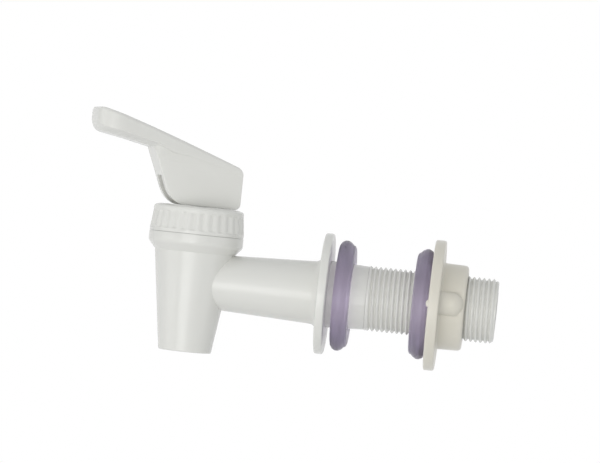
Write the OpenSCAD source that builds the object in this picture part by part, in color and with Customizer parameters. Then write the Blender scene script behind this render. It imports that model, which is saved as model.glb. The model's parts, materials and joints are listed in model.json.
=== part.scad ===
// Push-lever tap for a reverse osmosis water tank, with its valve, washers and lock nut.
// The origin is the centre of the flange's tank face. +X runs along the shank into the
// tank, +Z is up, and the barrel stands on the -X side with its spout pointing down.

/* [Shank] */
// Diameter over the crests of the shank's thread
shank_d = 19.7; // [19.5:0.1:20]
// Length of the shank from the flange's tank face to its open end
shank_l = 51.1; // [46:0.1:70]
// Swell of the plain neck over the thread's crests, as it leaves the flange
neck_swell = 0.6; // [0.3:0.1:1.2]
// Fall of the neck's diameter from the flange to the start of the thread
neck_fall = 1.1; // [0.8:0.1:2]
// Length of the plain neck
neck_l = 11.6; // [9:0.1:15]
// Chamfer at the shank's open end
shank_chamfer = 1.2; // [0.5:0.1:1.6]
// Diameter of the water bore through shank and arm
water_d = 12; // [9:0.5:13]
// Distance from the seat cup's bell to the inner end of the water bore
bore_stop = 1.4; // [1:0.1:2]

/* [Flange and arm] */
// Diameter of the tap's flange
flange_d = 36.8; // [32:0.1:44]
// Thickness of the flange at its rim
flange_t = 2.6; // [2:0.1:4]
// Radius of the sweep from the arm into the flange
flange_sweep = 2.6; // [1:0.1:4]
// Diameter of the arm at the flange
arm_d = 19.1; // [17.5:0.1:22]
// Diameter of the arm at the barrel's axis
arm_end_d = 16.1; // [15:0.1:18.5]
// Distance from the tank face to the barrel's axis
reach = 42; // [36:0.1:60]

/* [Barrel] */
// Height of the seam between collar and bonnet above the shank's axis
seam_z = 13.8; // [13:0.1:18]
// Diameter of the collar under the seam
collar_d = 28.8; // [27.5:0.1:32]
// Height of the collar's straight band
collar_h = 2.1; // [1.5:0.1:3.5]
// Height of the rounded foot between collar and barrel
collar_foot = 3.3; // [2:0.1:4]
// Diameter of the barrel at the collar's foot
barrel_d = 24.4; // [24:0.1:26]
// Depth of the spout's mouth below the shank's axis
spout_z = 21.9; // [21:0.1:35]
// Outer diameter of the spout at its mouth
spout_d = 16.2; // [15.5:0.1:19]
// Diameter of the spout's bore
spout_bore_d = 12.4; // [10:0.1:13]
// Length of the spout's bore
spout_bore_l = 7.4; // [5:0.1:8]
// Diameter of the valve chamber at its top
chamber_d = 19.2; // [18.5:0.1:19.6]
// Diameter of the valve chamber at its floor
chamber_floor_d = 15.4; // [14.5:0.1:16]
// Depth of the valve seat's edge below the shank's axis
seat_z = 8.6; // [8:0.1:9.5]
// Diameter of the opening in the valve seat
seat_d = 9; // [8:0.1:9.4]
// Height and width of the lip round the valve seat
seat_lip = 0.8; // [0.4:0.1:1.2]
// Crest diameter of the thread that holds the bonnet
cap_thread_d = 24.4; // [23.8:0.1:25]
// Height of that threaded upstand above the seam
upstand_h = 6.1; // [5.4:0.1:6.2]

/* [Bonnet] */
// Height of the bonnet above the seam
bonnet_h = 8.5; // [8.2:0.1:10]
// Diameter of the bonnet at its bead
bonnet_d = 28.8; // [28.2:0.1:32]
// Diameter of the bonnet under its top edge
bonnet_top_d = 27.5; // [27.2:0.1:28.2]
// Radius of the bonnet's top edge
bonnet_edge = 0.9; // [0.6:0.1:1.6]
// Diameter of the flat land that the lever rocks on
land_d = 19; // [17:0.1:21]
// Fall of the crown from the land to the top edge
crown_fall = 0.35; // [0:0.05:0.6]
// Thickness of the bonnet's roof
roof_t = 1.7; // [1.4:0.1:2]
// Height of the plain bead under the ribs
bead_h = 1; // [0.6:0.1:1.6]
// Height of the plain band over the ribs
band_h = 2; // [1.6:0.1:3]
// Number of grip ribs
rib_n = 30; // [20:1:40]
// Radius of the grooves between the ribs
groove_r = 0.75; // [0.5:0.05:0.9]
// Depth of the grooves between the ribs
groove_depth = 0.5; // [0.2:0.05:0.6]

/* [Lever] */
// Turn of the lever about the stem, with its tip towards -Y
lever_turn = 19; // [0:1:45]
// Angle that the lever can be pressed down
press_max = 25; // [15:1:27]
// Lift of the stem for each radian of press, the base radius of the cam's involute
cam_lift = 6.35; // [5:0.1:7]
// Gap between the lever's sole and the bonnet's land
sole_gap = 0.2; // [0.15:0.05:0.6]
// Width of the lever's block
block_w = 10; // [9.4:0.1:11]
// Thickness of the block's side plates
plate_t = 2.2; // [2:0.1:2.2]
// Distance from the stem's axis to the block's back
block_back = 11.5; // [10:0.1:13]
// Radius of the block's lower back corner
heel_r = 1.8; // [0.5:0.1:2.4]
// Lean of the block's front face from the vertical
front_lean = 22.4; // [18:0.1:28]
// Thickness of the block's front wall
front_t = 1.8; // [1.2:0.1:2.5]
// Height of the slot in the block's front above the sole
slot_h = 8.3; // [7:0.1:9]
// Height of the pin above the sole
pin_h = 3; // [2.8:0.1:3.6]
// Diameter of the lever's pin
pin_d = 2.4; // [2:0.1:2.6]
// Reach of the paddle from the stem's axis to its tip
tip_reach = 35.3; // [30:0.1:45]
// Width of the paddle at its tip
tip_w = 20.5; // [16:0.1:26]
// Width of the paddle at its back
back_w = 10.7; // [10.4:0.1:14]
// Height of the paddle's top at its tip above the sole
tip_h = 27.2; // [24:0.1:30]
// Height of the paddle's top at its back above the sole
back_h = 12.4; // [11.5:0.1:14]
// Rise of the paddle's crown over a straight line from tip to back
crown_rise = 0.75; // [0.3:0.05:1.5]
// Thickness of the paddle at its tip
tip_t = 7.4; // [6:0.1:8]
// Thickness of the paddle at its back
back_t = 4.1; // [4:0.1:5.5]
// Radius of the tip's corners, seen from above
tip_corner = 4.5; // [3:0.1:7]
// Radius of the tip's upper edge, seen from the side
tip_top_r = 1.7; // [1.2:0.1:2.6]
// Radius of the tip's lower edge, seen from the side
tip_low_r = 3.2; // [2:0.1:3.4]
// Radius of the back's upper edge, seen from the side
back_r = 1.7; // [0.6:0.1:2]
// Radius of the paddle's upper edges along its sides
top_edge = 0.9; // [0.5:0.1:1.2]
// Radius of the paddle's lower edges along its sides
low_edge = 1.7; // [1:0.1:1.9]

/* [Valve] */
// Diameter of the stem where it runs in the bonnet
stem_d = 5; // [4.6:0.1:5.2]
// Diameter of the stem's lower part, which stops against the guide
stem_low_d = 6; // [5.6:0.1:6.2]
// Diameter of the stem's spring seat
spring_seat_d = 8.6; // [8.4:0.1:8.8]
// Thickness of the stem's spring seat
spring_seat_t = 1.4; // [1:0.1:1.8]
// Diameter of the button that holds the seat cup
button_d = 6.6; // [6:0.1:6.8]
// Height of the button
button_h = 2; // [1.6:0.1:2.1]
// Diameter of the stem's neck above the button
stem_neck_d = 4.4; // [3.8:0.1:4.6]
// Wire diameter of the return spring
wire_d = 0.8; // [0.6:0.05:0.85]
// Mean diameter of the return spring's coil
coil_d = 7.4; // [7.3:0.05:7.5]
// Number of turns of the return spring
coil_n = 9; // [7:1:12]
// Outer diameter of the guide's flange
guide_d = 11.2; // [10:0.1:12]
// Thickness of the guide's flange
guide_t = 1; // [0.8:0.1:1.4]
// Length of the guide's sleeve below its flange
sleeve_l = 4; // [3:0.1:5]
// Wall of the guide's sleeve
sleeve_t = 0.45; // [0.35:0.05:0.5]
// Outer diameter of the seat cup's rim
rim_d = 20.6; // [20:0.1:20.6]
// Thickness of the seat cup's rim
rim_t = 1.45; // [1.2:0.05:1.6]
// Outer diameter of the seat cup's bell
bell_d = 11.6; // [11.4:0.1:12]
// Wall of the seat cup's bell
bell_t = 1; // [0.8:0.05:1.1]
// Outer diameter of the seat cup's nose
nose_d = 12.8; // [12:0.1:13.4]
// Depth of the seat cup's fold below its rim
fold_depth = 5.5; // [4:0.1:7]

/* [Washers and nut] */
// Largest diameter of the soft washers
washer_d = 33.7; // [30:0.1:38]
// Diameter of a washer's narrow step
washer_step_d = 30.2; // [28:0.1:31]
// Thickness of the washers
washer_t = 5.2; // [4:0.1:6]
// Gap between the flange and the outer washer as it hangs loose
outer_washer_gap = 2.05; // [0.3:0.05:4]
// Distance from the tank face to the nut's clamping face
nut_x = 30.85; // [20:0.1:40]
// Diameter of the nut's flange
nut_flange_d = 39.6; // [36:0.1:46]
// Thickness of the nut's flange
nut_flange_t = 3.2; // [2.5:0.1:4]
// Diameter of the nut's hub
nut_hub_d = 26; // [24.5:0.1:30]
// Length of the nut over flange and hub
nut_l = 10.8; // [9:0.1:14]
// Width of the nut's two grip lugs
lug_w = 7.3; // [6:0.1:9]
// Reach of a grip lug beyond the hub
lug_out = 2.8; // [1.5:0.1:3]
// Turn of the lugs about the shank, up from the -Y side
lug_turn = 5; // [0:1:90]

/* [Fits] */
// Radial clearance of turning, sliding and screwed pieces
run_gap = 0.08; // [0.04:0.01:0.1]
// Clearance between faces that meet
face_gap = 0.05; // [0.02:0.01:0.1]
// Clearance between loose or soft pieces
loose_gap = 0.3; // [0.25:0.05:0.35]

/* [Hidden] */

white = [0.87, 0.88, 0.85];
cream = [0.88, 0.86, 0.76];
violet = [0.52, 0.49, 0.62];
silicone = [0.86, 0.85, 0.80];
acetal = [0.93, 0.93, 0.91];
steel = [0.74, 0.75, 0.77];
eps = 0.01;

// Heights of the bonnet's land, of its roof's underside and of the ledge for the cup's rim
land_z = seam_z + bonnet_h;
roof_z = land_z - roof_t;
clamp_h = 1.1;
rim_z = roof_z - clamp_h - face_gap - rim_t;
ledge_z = rim_z - face_gap;
upstand_z = min(seam_z + upstand_h, roof_z - loose_gap);

// The barrel's outer radius falls evenly from the collar's foot to the spout's mouth
foot_z = seam_z - collar_h - collar_foot;

// The lever's pin, the stem's lift and the guide that stops it
pin_z = land_z + sole_gap + pin_h;
lift_max = cam_lift * press_max * PI / 180;
guide_z = roof_z - face_gap - guide_t;
sleeve_z = guide_z - sleeve_l;
shoulder_z = sleeve_z - lift_max - face_gap;

// The seat cup's nose meets the seat's inner edge on a cone
nose_slope = 1.05;
nose_low_r = 2.8;
nose_low_z = -seat_z + face_gap + (nose_low_r - seat_d / 2) * nose_slope;
nose_high_z = -seat_z + face_gap + (nose_d - seat_d) / 2 * nose_slope;
nose_band = 1.1;
cup_base = 3;
cup_floor_z = nose_low_z + cup_base + button_h + 1.5;
seat_top_z = cup_floor_z + face_gap + spring_seat_t;

neck_d = shank_d + neck_swell;
neck_end_d = neck_d - neck_fall;
washer_bore_r = neck_d / 2 + run_gap;
nut_bore_r = shank_d / 2 + run_gap;

function arc(cx, cy, r, a0, a1, n = 8) =
    [for (i = [0:n]) [cx + r * cos(a0 + (a1 - a0) * i / n), cy + r * sin(a0 + (a1 - a0) * i / n)]];

// Shapes turned about the shank's axis: the first coordinate is X, the second the radius
module round_shank(points, fn = 96) {
    rotate([0, 90, 0])
        rotate_extrude($fn = fn)
            polygon([for (p = points) [p[1], p[0]]]);
}

// Shapes turned about the barrel's axis: the first coordinate is the radius, the second Z
module round_barrel(points, fn = 96) {
    translate([-reach, 0, 0])
        rotate_extrude($fn = fn)
            polygon(points);
}

// Barrel, collar, threaded upstand, arm, flange and shank are one moulding
module tap_body() {
    bore_x = bell_d / 2 + bore_stop - reach;
    color(white)
    difference() {
        union() {
            barrel_outside();
            shank_outside();
        }
        barrel_inside();
        translate([bore_x, 0, 0])
            rotate([0, 90, 0])
                cylinder(h = shank_l - bore_x + eps, d = water_d, $fn = 64);
    }
}

module barrel_outside() {
    collar_z = seam_z - collar_h;
    step = (collar_d - barrel_d) / 2;
    foot_r = min(step, collar_foot) * 0.98;
    mouth_r = 0.4;
    round_barrel(concat(
        [[0, -spout_z]],
        arc(spout_d / 2 - mouth_r, mouth_r - spout_z, mouth_r, -90, 0, 6),
        [[barrel_d / 2, foot_z]],
        arc(collar_d / 2 - foot_r, collar_z, foot_r, -50, 0, 6),
        [[collar_d / 2, seam_z], [cap_thread_d / 2, seam_z]],
        [[cap_thread_d / 2, upstand_z - 0.5], [cap_thread_d / 2 - 0.5, upstand_z], [0, upstand_z]]
    ));
}

module barrel_inside() {
    floor_z = -seat_z - seat_lip;
    throat_z = spout_bore_l - spout_z;
    cone_h = (spout_bore_d - seat_d) / 2;
    lip_r = seat_d / 2 + seat_lip;
    round_barrel([
        [0, upstand_z + eps], [rim_d / 2 + 0.2, upstand_z + eps], [rim_d / 2 + 0.2, ledge_z],
        [chamber_d / 2, ledge_z], [chamber_floor_d / 2, floor_z], [lip_r + 0.3, floor_z],
        [lip_r, -seat_z], [seat_d / 2, -seat_z], [seat_d / 2, throat_z + cone_h],
        [spout_bore_d / 2, throat_z], [spout_bore_d / 2, -spout_z - eps], [0, -spout_z - eps]
    ]);
}

module shank_outside() {
    rim_r = 0.5;
    fillet_x = -flange_t;
    arm_r = arm_d / 2;
    round_shank(concat(
        [[-reach, 0], [-reach, arm_end_d / 2], [fillet_x - flange_sweep, arm_r]],
        arc(fillet_x - flange_sweep, arm_r + flange_sweep, flange_sweep, -90, 0, 8),
        arc(fillet_x + rim_r, flange_d / 2 - rim_r, rim_r, 180, 90, 4),
        arc(-rim_r, flange_d / 2 - rim_r, rim_r, 90, 0, 4),
        [[0, neck_d / 2], [neck_l, neck_end_d / 2], [neck_l, shank_d / 2 - 0.3]],
        [[neck_l + 0.3, shank_d / 2], [shank_l - shank_chamfer, shank_d / 2]],
        [[shank_l, shank_d / 2 - shank_chamfer], [shank_l, 0]]
    ));
}

// The bonnet screws onto the upstand, clamps the seat cup's rim and guides the stem
module bonnet_cap() {
    rise = bonnet_h - band_h - bead_h;
    base_z = seam_z + face_gap;
    fall = (bonnet_d - bonnet_top_d) / 2;
    side_z = land_z - crown_fall - bonnet_edge;
    lean = atan(fall / (side_z - seam_z - bead_h));
    groove_x = bonnet_d / 2 + groove_r - groove_depth;
    color(white)
    difference() {
        round_barrel(concat(
            [[cap_thread_d / 2 + run_gap, base_z], [bonnet_d / 2 - 0.3, base_z]],
            [[bonnet_d / 2, base_z + 0.3], [bonnet_d / 2, seam_z + bead_h]],
            arc(bonnet_top_d / 2 - bonnet_edge, side_z, bonnet_edge, 0, 90, 8),
            [[land_d / 2, land_z], [stem_d / 2 + run_gap, land_z], [stem_d / 2 + run_gap, roof_z]],
            [[rim_d / 2 - 1.6, roof_z], [rim_d / 2 - 1.6, roof_z - clamp_h]],
            [[rim_d / 2, roof_z - clamp_h], [rim_d / 2, roof_z]],
            [[cap_thread_d / 2 + run_gap, roof_z]]
        ));
        translate([-reach, 0, 0])
            for (i = [0:rib_n - 1])
                rotate([0, 0, i * 360 / rib_n])
                    translate([groove_x, 0, seam_z + bead_h])
                        rotate([0, -lean, 0])
                            cylinder(h = rise, r = groove_r, $fn = 24);
    }
}

// Soft bell that closes the seat with its nose and seals the bonnet with its rim
module seat_cup() {
    outer_r = bell_d / 2;
    inner_r = outer_r - bell_t;
    fold_z = ledge_z - fold_depth;
    neck_r = stem_neck_d / 2 + face_gap;
    pocket_r = button_d / 2 + face_gap;
    pocket_z = nose_low_z + cup_base;
    pocket_top = pocket_z + button_h + 2 * face_gap;
    fold_r = rim_d / 2 - 2.4;
    color(silicone)
    round_barrel([
        [rim_d / 2, rim_z], [rim_d / 2, rim_z + rim_t], [rim_d / 2 - 1.8, rim_z + rim_t],
        [fold_r - 0.6, rim_z - 0.9], [inner_r + 0.2, fold_z], [inner_r, cup_floor_z + 1],
        [inner_r - 0.3, cup_floor_z], [neck_r, cup_floor_z], [neck_r, pocket_top],
        [pocket_r, pocket_top], [pocket_r, pocket_z], [0, pocket_z],
        [0, nose_low_z], [nose_low_r, nose_low_z],
        [nose_d / 2, nose_high_z], [nose_d / 2, nose_high_z + nose_band],
        [outer_r, nose_high_z + nose_band + 1.2], [outer_r + 0.2, fold_z],
        [fold_r + 0.4, rim_z - 1.2], [fold_r + 0.6, rim_z]
    ], 64);
}

// Stem: cross-drilled head in the lever, shoulder, spring seat and the button in the cup
module valve_stem() {
    pocket_z = nose_low_z + cup_base;
    button_z = pocket_z + face_gap;
    neck_z = button_z + button_h;
    flange_z = cup_floor_z + face_gap;
    color(acetal)
    difference() {
        round_barrel(concat(
            [[0, button_z], [button_d / 2 - 0.6, button_z], [button_d / 2, button_z + 0.6]],
            [[button_d / 2, neck_z], [stem_neck_d / 2, neck_z], [stem_neck_d / 2, flange_z]],
            [[spring_seat_d / 2, flange_z], [spring_seat_d / 2, seat_top_z]],
            [[stem_low_d / 2, seat_top_z], [stem_low_d / 2, shoulder_z - 0.4]],
            [[stem_low_d / 2 - 0.4, shoulder_z], [stem_d / 2, shoulder_z]],
            arc(0, pin_z + 0.2, stem_d / 2, 0, 90, 8)
        ), 64);
        at_stem()
            translate([0, 0, pin_z])
                rotate([90, 0, 0])
                    cylinder(h = stem_d + 1, d = pin_d + 2 * run_gap, center = true, $fn = 48);
    }
}

// Places a shape on the stem's axis, turned with the lever
module at_stem() {
    translate([-reach, 0, 0])
        rotate([0, 0, lever_turn])
            children();
}

// Coil height along the spring: the first and last turn lie closed
function coil_z(t, pitch) =
    t < 1 ? wire_d * t : t < coil_n - 1 ? wire_d + (t - 1) * pitch
    : wire_d + (coil_n - 2) * pitch + (t - coil_n + 1) * wire_d;

module return_spring() {
    steps = 20;
    sides = 6;
    low = seat_top_z + face_gap + wire_d / 2;
    high = guide_z - face_gap - wire_d / 2;
    pitch = (high - low - 2 * wire_d) / (coil_n - 2);
    rings = coil_n * steps;
    points = [for (i = [0:rings]) for (k = [0:sides - 1])
        let (a = i * 360 / steps, b = k * 360 / sides, r = coil_d / 2 + wire_d / 2 * cos(b))
        [r * cos(a), r * sin(a), low + coil_z(i / steps, pitch) + wire_d / 2 * sin(b)]];
    side_faces = [for (i = [0:rings - 1]) for (k = [0:sides - 1])
        let (a = i * sides + k, b = i * sides + (k + 1) % sides)
        [a, b, b + sides, a + sides]];
    start_face = [for (k = [sides - 1:-1:0]) k];
    end_face = [for (k = [0:sides - 1]) rings * sides + k];
    color(steel)
    at_stem()
        polyhedron(points, concat(side_faces, [start_face, end_face]));
}

// Flanged guide under the bonnet's roof that centres the spring and stops the stem
module spring_guide() {
    bore_r = stem_d / 2 + run_gap;
    sleeve_r = bore_r + sleeve_t;
    color(acetal)
    round_barrel([
        [bore_r, sleeve_z], [sleeve_r - 0.15, sleeve_z], [sleeve_r, sleeve_z + 0.3],
        [sleeve_r, guide_z], [guide_d / 2, guide_z], [guide_d / 2, guide_z + guide_t],
        [bore_r, guide_z + guide_t]
    ], 64);
}

// The cam's outline below the pin: an involute, so the stem lifts evenly with the press
function cam_point(a) =
    let (p = pin_h + cam_lift * a * PI / 180)
    [-p * sin(a) - cam_lift * cos(a), pin_h - p * cos(a) + cam_lift * sin(a)];

// Height of the paddle's top above the sole at a distance x from the stem
function paddle_top(x) =
    let (t = (block_back - x) / (block_back + tip_reach))
    back_h + (tip_h - back_h) * t + 4 * crown_rise * t * (1 - t) * (0.6 + 0.4 * t);

function paddle_t(x) =
    let (t = (block_back - x) / (block_back + tip_reach))
    back_t + (tip_t - back_t) * t * (0.4 + 0.6 * t);

function paddle_w(x) =
    let (t = (block_back - x) / (block_back + tip_reach))
    back_w + (tip_w - back_w) * t;

// Sole, cam, leaning front and upright back, in the lever's own plane above the sole
module block_side() {
    cam_steps = 14;
    cam_end = 90 - front_lean;
    toe = cam_point(cam_end);
    top_x = toe[0] - (paddle_top(toe[0]) - toe[1]) * tan(front_lean);
    front_h = paddle_top(top_x) - paddle_t(top_x) / 2;
    front_x = toe[0] - (front_h - toe[1]) * tan(front_lean);
    polygon(concat(
        [for (i = [0:cam_steps]) cam_point(cam_end * i / cam_steps)],
        [[front_x, front_h], [block_back - 0.6, back_h - back_t / 2]],
        [[block_back, back_h - back_t / 2 - 0.6]],
        arc(block_back - heel_r, heel_r, heel_r, 0, -90, 6)
    ));
}

// Hollow between the side plates, open below, and in front up to the slot's height
module block_hollow() {
    toe = cam_point(90 - front_lean);
    wall = front_t / cos(front_lean);
    lean = tan(front_lean);
    roof = paddle_t(0) + 0.6;
    slot_x = toe[0] - (slot_h - toe[1]) * lean + wall;
    rise = paddle_top(slot_x) - roof - slot_h;
    back_x = block_back - plate_t;
    polygon([
        [-tip_reach, -1], [-tip_reach, slot_h], [slot_x, slot_h], [slot_x - rise * lean, slot_h + rise],
        [back_x, paddle_top(block_back) - back_t - 0.6], [back_x, -1]
    ]);
}

// How far a rounded end draws in at a distance d from it
function end_in(d, r) = d >= r ? 0 : r - sqrt(r * r - (r - d) * (r - d));

// Section of the paddle across the lever, at a distance x from the stem
function paddle_ring(x) =
    let (tip = x + tip_reach, back = block_back - x,
        half = paddle_w(x) / 2 - end_in(tip, tip_corner),
        high = paddle_top(x) - end_in(tip, tip_top_r) - end_in(back, back_r),
        low = paddle_top(x) - paddle_t(x) + end_in(tip, tip_low_r),
        top_r = min(top_edge, (high - low) / 3), low_r = min(low_edge, (high - low) / 3))
    [for (p = concat(
        arc(half - top_r, high - top_r, top_r, 90, 0, 4),
        arc(half - low_r, low + low_r, low_r, 0, -90, 5),
        arc(low_r - half, low + low_r, low_r, -90, -180, 5),
        arc(top_r - half, high - top_r, top_r, 180, 90, 4))) [x, p[0], p[1]]];

// Broad paddle: sections joined from the rounded tip to the back
module paddle() {
    tip_steps = [0, 0.1, 0.4, 0.9, 1.6, 2.4, 3.4, 4.6];
    back_steps = [1.6, 1.1, 0.6, 0.25, 0.05, 0];
    spans = 9;
    mid_x = tip_steps[7] - tip_reach;
    mid_l = block_back - back_steps[0] - mid_x;
    stations = concat(
        [for (d = tip_steps) d - tip_reach],
        [for (i = [1:spans - 1]) mid_x + mid_l * i / spans],
        [for (d = back_steps) block_back - d]);
    rings = [for (x = stations) paddle_ring(x)];
    n = len(rings[0]);
    skin = [for (i = [0:len(rings) - 2]) for (k = [0:n - 1])
        let (a = i * n + k, b = i * n + (k + 1) % n)
        each [[a, b, b + n], [a, b + n, a + n]]];
    tip_face = [for (k = [n - 1:-1:0]) k];
    back_face = [for (k = [0:n - 1]) (len(rings) - 1) * n + k];
    polyhedron([for (ring = rings) each ring], concat(skin, [tip_face, back_face]));
}

// Lever: paddle over a hollow block, with the rocking cam at the foot of its front
module lever() {
    blind = plate_t - 0.8;
    slot_w = block_w - 2 * plate_t;
    color(white)
    at_stem()
        translate([0, 0, land_z + sole_gap])
            difference() {
                union() {
                    paddle();
                    rotate([90, 0, 0])
                        linear_extrude(height = block_w, center = true)
                            block_side();
                }
                rotate([90, 0, 0])
                    linear_extrude(height = slot_w, center = true)
                        block_hollow();
                translate([0, -slot_w / 2 - blind, pin_h])
                    rotate([-90, 0, 0])
                        cylinder(h = block_w, d = pin_d, $fn = 48);
            }
}

// Pin pressed into the lever's plates: blind on the -Y side, open on the other
module lever_pin() {
    blind = plate_t - 0.8;
    low = -(block_w / 2 - plate_t) - blind + face_gap;
    high = block_w / 2 - 0.2;
    color(steel)
    at_stem()
        translate([0, low, pin_z])
            rotate([-90, 0, 0])
                cylinder(h = high - low, d = pin_d - 0.04, $fn = 48);
}

// Soft washer with a wide ring at its sealing face and a narrow step behind it
module soft_washer(x, way) {
    r = washer_d / 2;
    step_r = washer_step_d / 2;
    s = washer_t;
    color(violet)
    translate([x, 0, 0])
        mirror([way < 0 ? 1 : 0, 0, 0])
            round_shank([
                [0, washer_bore_r + 0.4], [0, r - 0.9], [0.2, r - 0.5], [0.15 * s, r - 0.25],
                [0.26 * s, r - 0.05], [0.38 * s, r], [0.5 * s, r - 0.08], [0.61 * s, r - 0.35],
                [0.77 * s, step_r + 0.4], [0.85 * s, step_r + 0.1], [s - 0.35, step_r],
                [s, step_r - 0.4], [s, washer_bore_r + 0.4], [s - 0.4, washer_bore_r],
                [0.4, washer_bore_r]
            ]);
}

module outer_washer() {
    soft_washer(outer_washer_gap, 1);
}

module inner_washer() {
    soft_washer(nut_x - face_gap, -1);
}

// Lock nut: clamping flange, round hub and two half-round grip lugs
module lock_nut() {
    hub_r = nut_hub_d / 2;
    lug_l = nut_l - 0.4;
    lug_r = lug_w / 2;
    rim = 0.5;
    nose = 0.9;
    color(cream)
    difference() {
        union() {
            translate([nut_x, 0, 0])
                round_shank(concat(
                    [[0, 0]],
                    arc(rim, nut_flange_d / 2 - rim, rim, 180, 90, 4),
                    arc(nut_flange_t - rim, nut_flange_d / 2 - rim, rim, 90, 0, 4),
                    [[nut_flange_t, hub_r + 0.6], [nut_flange_t + 0.6, hub_r]],
                    [[nut_l - nose, hub_r - 0.1], [nut_l, hub_r - nose], [nut_l, 0]]
                ));
            for (side = [0, 180])
                rotate([side - lug_turn, 0, 0])
                    translate([nut_x + 0.5, -(hub_r + lug_out - lug_r), 0])
                        rotate([0, 90, 0]) {
                            cylinder(h = lug_l - lug_r - 0.5, r = lug_r, $fn = 48);
                            translate([0, 0, lug_l - lug_r - 0.5])
                                sphere(r = lug_r, $fn = 48);
                        }
        }
        translate([nut_x - eps, 0, 0])
            rotate([0, 90, 0])
                cylinder(h = nut_l + 2 * eps, r = nut_bore_r, $fn = 96);
    }
}

tap_body();
bonnet_cap();
seat_cup();
valve_stem();
return_spring();
spring_guide();
lever();
lever_pin();
outer_washer();
inner_washer();
lock_nut();
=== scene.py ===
# %% [markdown]
# # A push-lever water tap, dressed for the camera
#
# This lesson takes a finished mechanical model of a small plastic tap and gives it the look of
# the real one. Each step first says what the piece is, how it could be made, and why one way
# was chosen. All lengths are in metres, in the frame of the mechanical model: the origin is the
# centre of the flange's tank face, +X runs along the shank into the tank, and +Z is up.

# %% Load the frame
import json
import math
import bmesh
import bpy
from mathutils import Matrix, Vector


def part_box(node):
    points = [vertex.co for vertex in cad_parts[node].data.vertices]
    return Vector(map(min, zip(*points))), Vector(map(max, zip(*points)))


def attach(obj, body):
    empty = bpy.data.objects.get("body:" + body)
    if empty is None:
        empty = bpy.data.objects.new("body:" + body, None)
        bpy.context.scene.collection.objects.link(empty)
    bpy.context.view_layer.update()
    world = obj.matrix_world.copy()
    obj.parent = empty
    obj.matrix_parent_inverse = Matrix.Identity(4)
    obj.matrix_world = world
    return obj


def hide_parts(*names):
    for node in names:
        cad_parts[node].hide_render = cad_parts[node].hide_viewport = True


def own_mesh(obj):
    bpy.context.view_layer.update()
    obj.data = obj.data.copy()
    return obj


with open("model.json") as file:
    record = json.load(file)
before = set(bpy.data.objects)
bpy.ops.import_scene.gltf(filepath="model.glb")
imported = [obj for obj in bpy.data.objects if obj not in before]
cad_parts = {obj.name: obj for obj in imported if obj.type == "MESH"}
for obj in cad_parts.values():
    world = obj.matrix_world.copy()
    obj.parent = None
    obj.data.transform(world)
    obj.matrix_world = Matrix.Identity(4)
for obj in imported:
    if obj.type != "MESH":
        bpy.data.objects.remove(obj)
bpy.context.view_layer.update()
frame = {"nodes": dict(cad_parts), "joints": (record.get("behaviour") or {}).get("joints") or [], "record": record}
nodes = frame["nodes"]
MM = 0.001

# %% [markdown]
# ## Sizes read from the frame
#
# A dressed piece has to sit exactly where its mechanical twin sits, so its place and its main
# sizes are read, not typed. The boxes of the pieces, the mounts and the joints already say where
# the barrel stands, how thick the shank is, and how far a thread travels in one turn. What no box
# or mount tells, such as where the thread begins, is a named length here or before its piece.

# %% Read the main sizes
bonnet_low, bonnet_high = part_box("bonnet_cap")
body_low, body_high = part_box("tap_body")
nut_low, nut_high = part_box("lock_nut")
mounts = {m["name"]: m for m in frame["record"]["mounts"]}
joints = {j["name"]: j for j in frame["joints"]}
behaviour = frame["record"]["behaviour"]
ratios = {c["joint"]: c["ratio"] for c in behaviour["couplings"]}
rides = {node: body for body, held in behaviour["bodies"].items() for node in held}

barrel_x = (bonnet_low.x + bonnet_high.x) / 2
seam_z = bonnet_low.z
land_z = bonnet_high.z
bonnet_r = (bonnet_high.x - bonnet_low.x) / 2
crest_r = mounts["wall_hole"]["dims"]["r_mm"] * MM
shank_end = body_high.x
thread_start = 11.6 * MM
pitch = ratios["nut_travel"] * 2 * math.pi
cap_pitch = ratios["bonnet_travel"] * 2 * math.pi
pivot = Vector(joints["lever_press"]["pos_m"])
press_axis = Vector(joints["lever_press"]["axis"])
lever_turn = math.atan2(press_axis.x, -press_axis.y)
print(f"barrel axis at x {barrel_x / MM:.1f} mm, thread pitch {pitch / MM:.2f} mm")
print(f"lever turned {math.degrees(lever_turn):.0f} degrees about the stem")

# %% [markdown]
# ## The camera
#
# The photograph was taken from far away with a long lens, level with the seam of the bonnet. The
# tap leans six degrees in the picture, because the camera was rolled, and a thin dark sliver of
# each flange's back face shows that the lens stood a few degrees towards the tank side. The
# scale of the picture fixes the focal length once the distance is chosen.

# %% Place the camera
PHOTO_WIDTH = 600
PIXELS_PER_MM = 3.29
SENSOR_WIDTH = 36
CAMERA_DISTANCE = 1.1
CAMERA_SEES = (0.05, 50)
CAMERA_YAW = math.radians(4.0)
CAMERA_ROLL = math.radians(6.0)
AIM = Vector((-10.7 * MM, 0, 18.0 * MM))


def place_camera():
    """A long lens on the -Y side, turned towards the tank side and rolled."""
    data = bpy.data.cameras.new("photo_camera")
    seen_width = PHOTO_WIDTH / PIXELS_PER_MM * MM
    data.sensor_width = SENSOR_WIDTH
    data.lens = data.sensor_width * CAMERA_DISTANCE / seen_width
    data.clip_start, data.clip_end = CAMERA_SEES
    camera = bpy.data.objects.new("photo_camera", data)
    bpy.context.scene.collection.objects.link(camera)
    away = Vector((math.sin(CAMERA_YAW), -math.cos(CAMERA_YAW), 0))
    camera.location = AIM + away * CAMERA_DISTANCE
    look = (-away).to_track_quat("-Z", "Y").to_matrix().to_4x4()
    camera.rotation_euler = (look @ Matrix.Rotation(CAMERA_ROLL, 4, "Z")).to_euler()
    bpy.context.scene.camera = camera
    return camera


camera = place_camera()
print(f"lens {camera.data.lens:.0f} mm at {CAMERA_DISTANCE} m")

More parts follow.
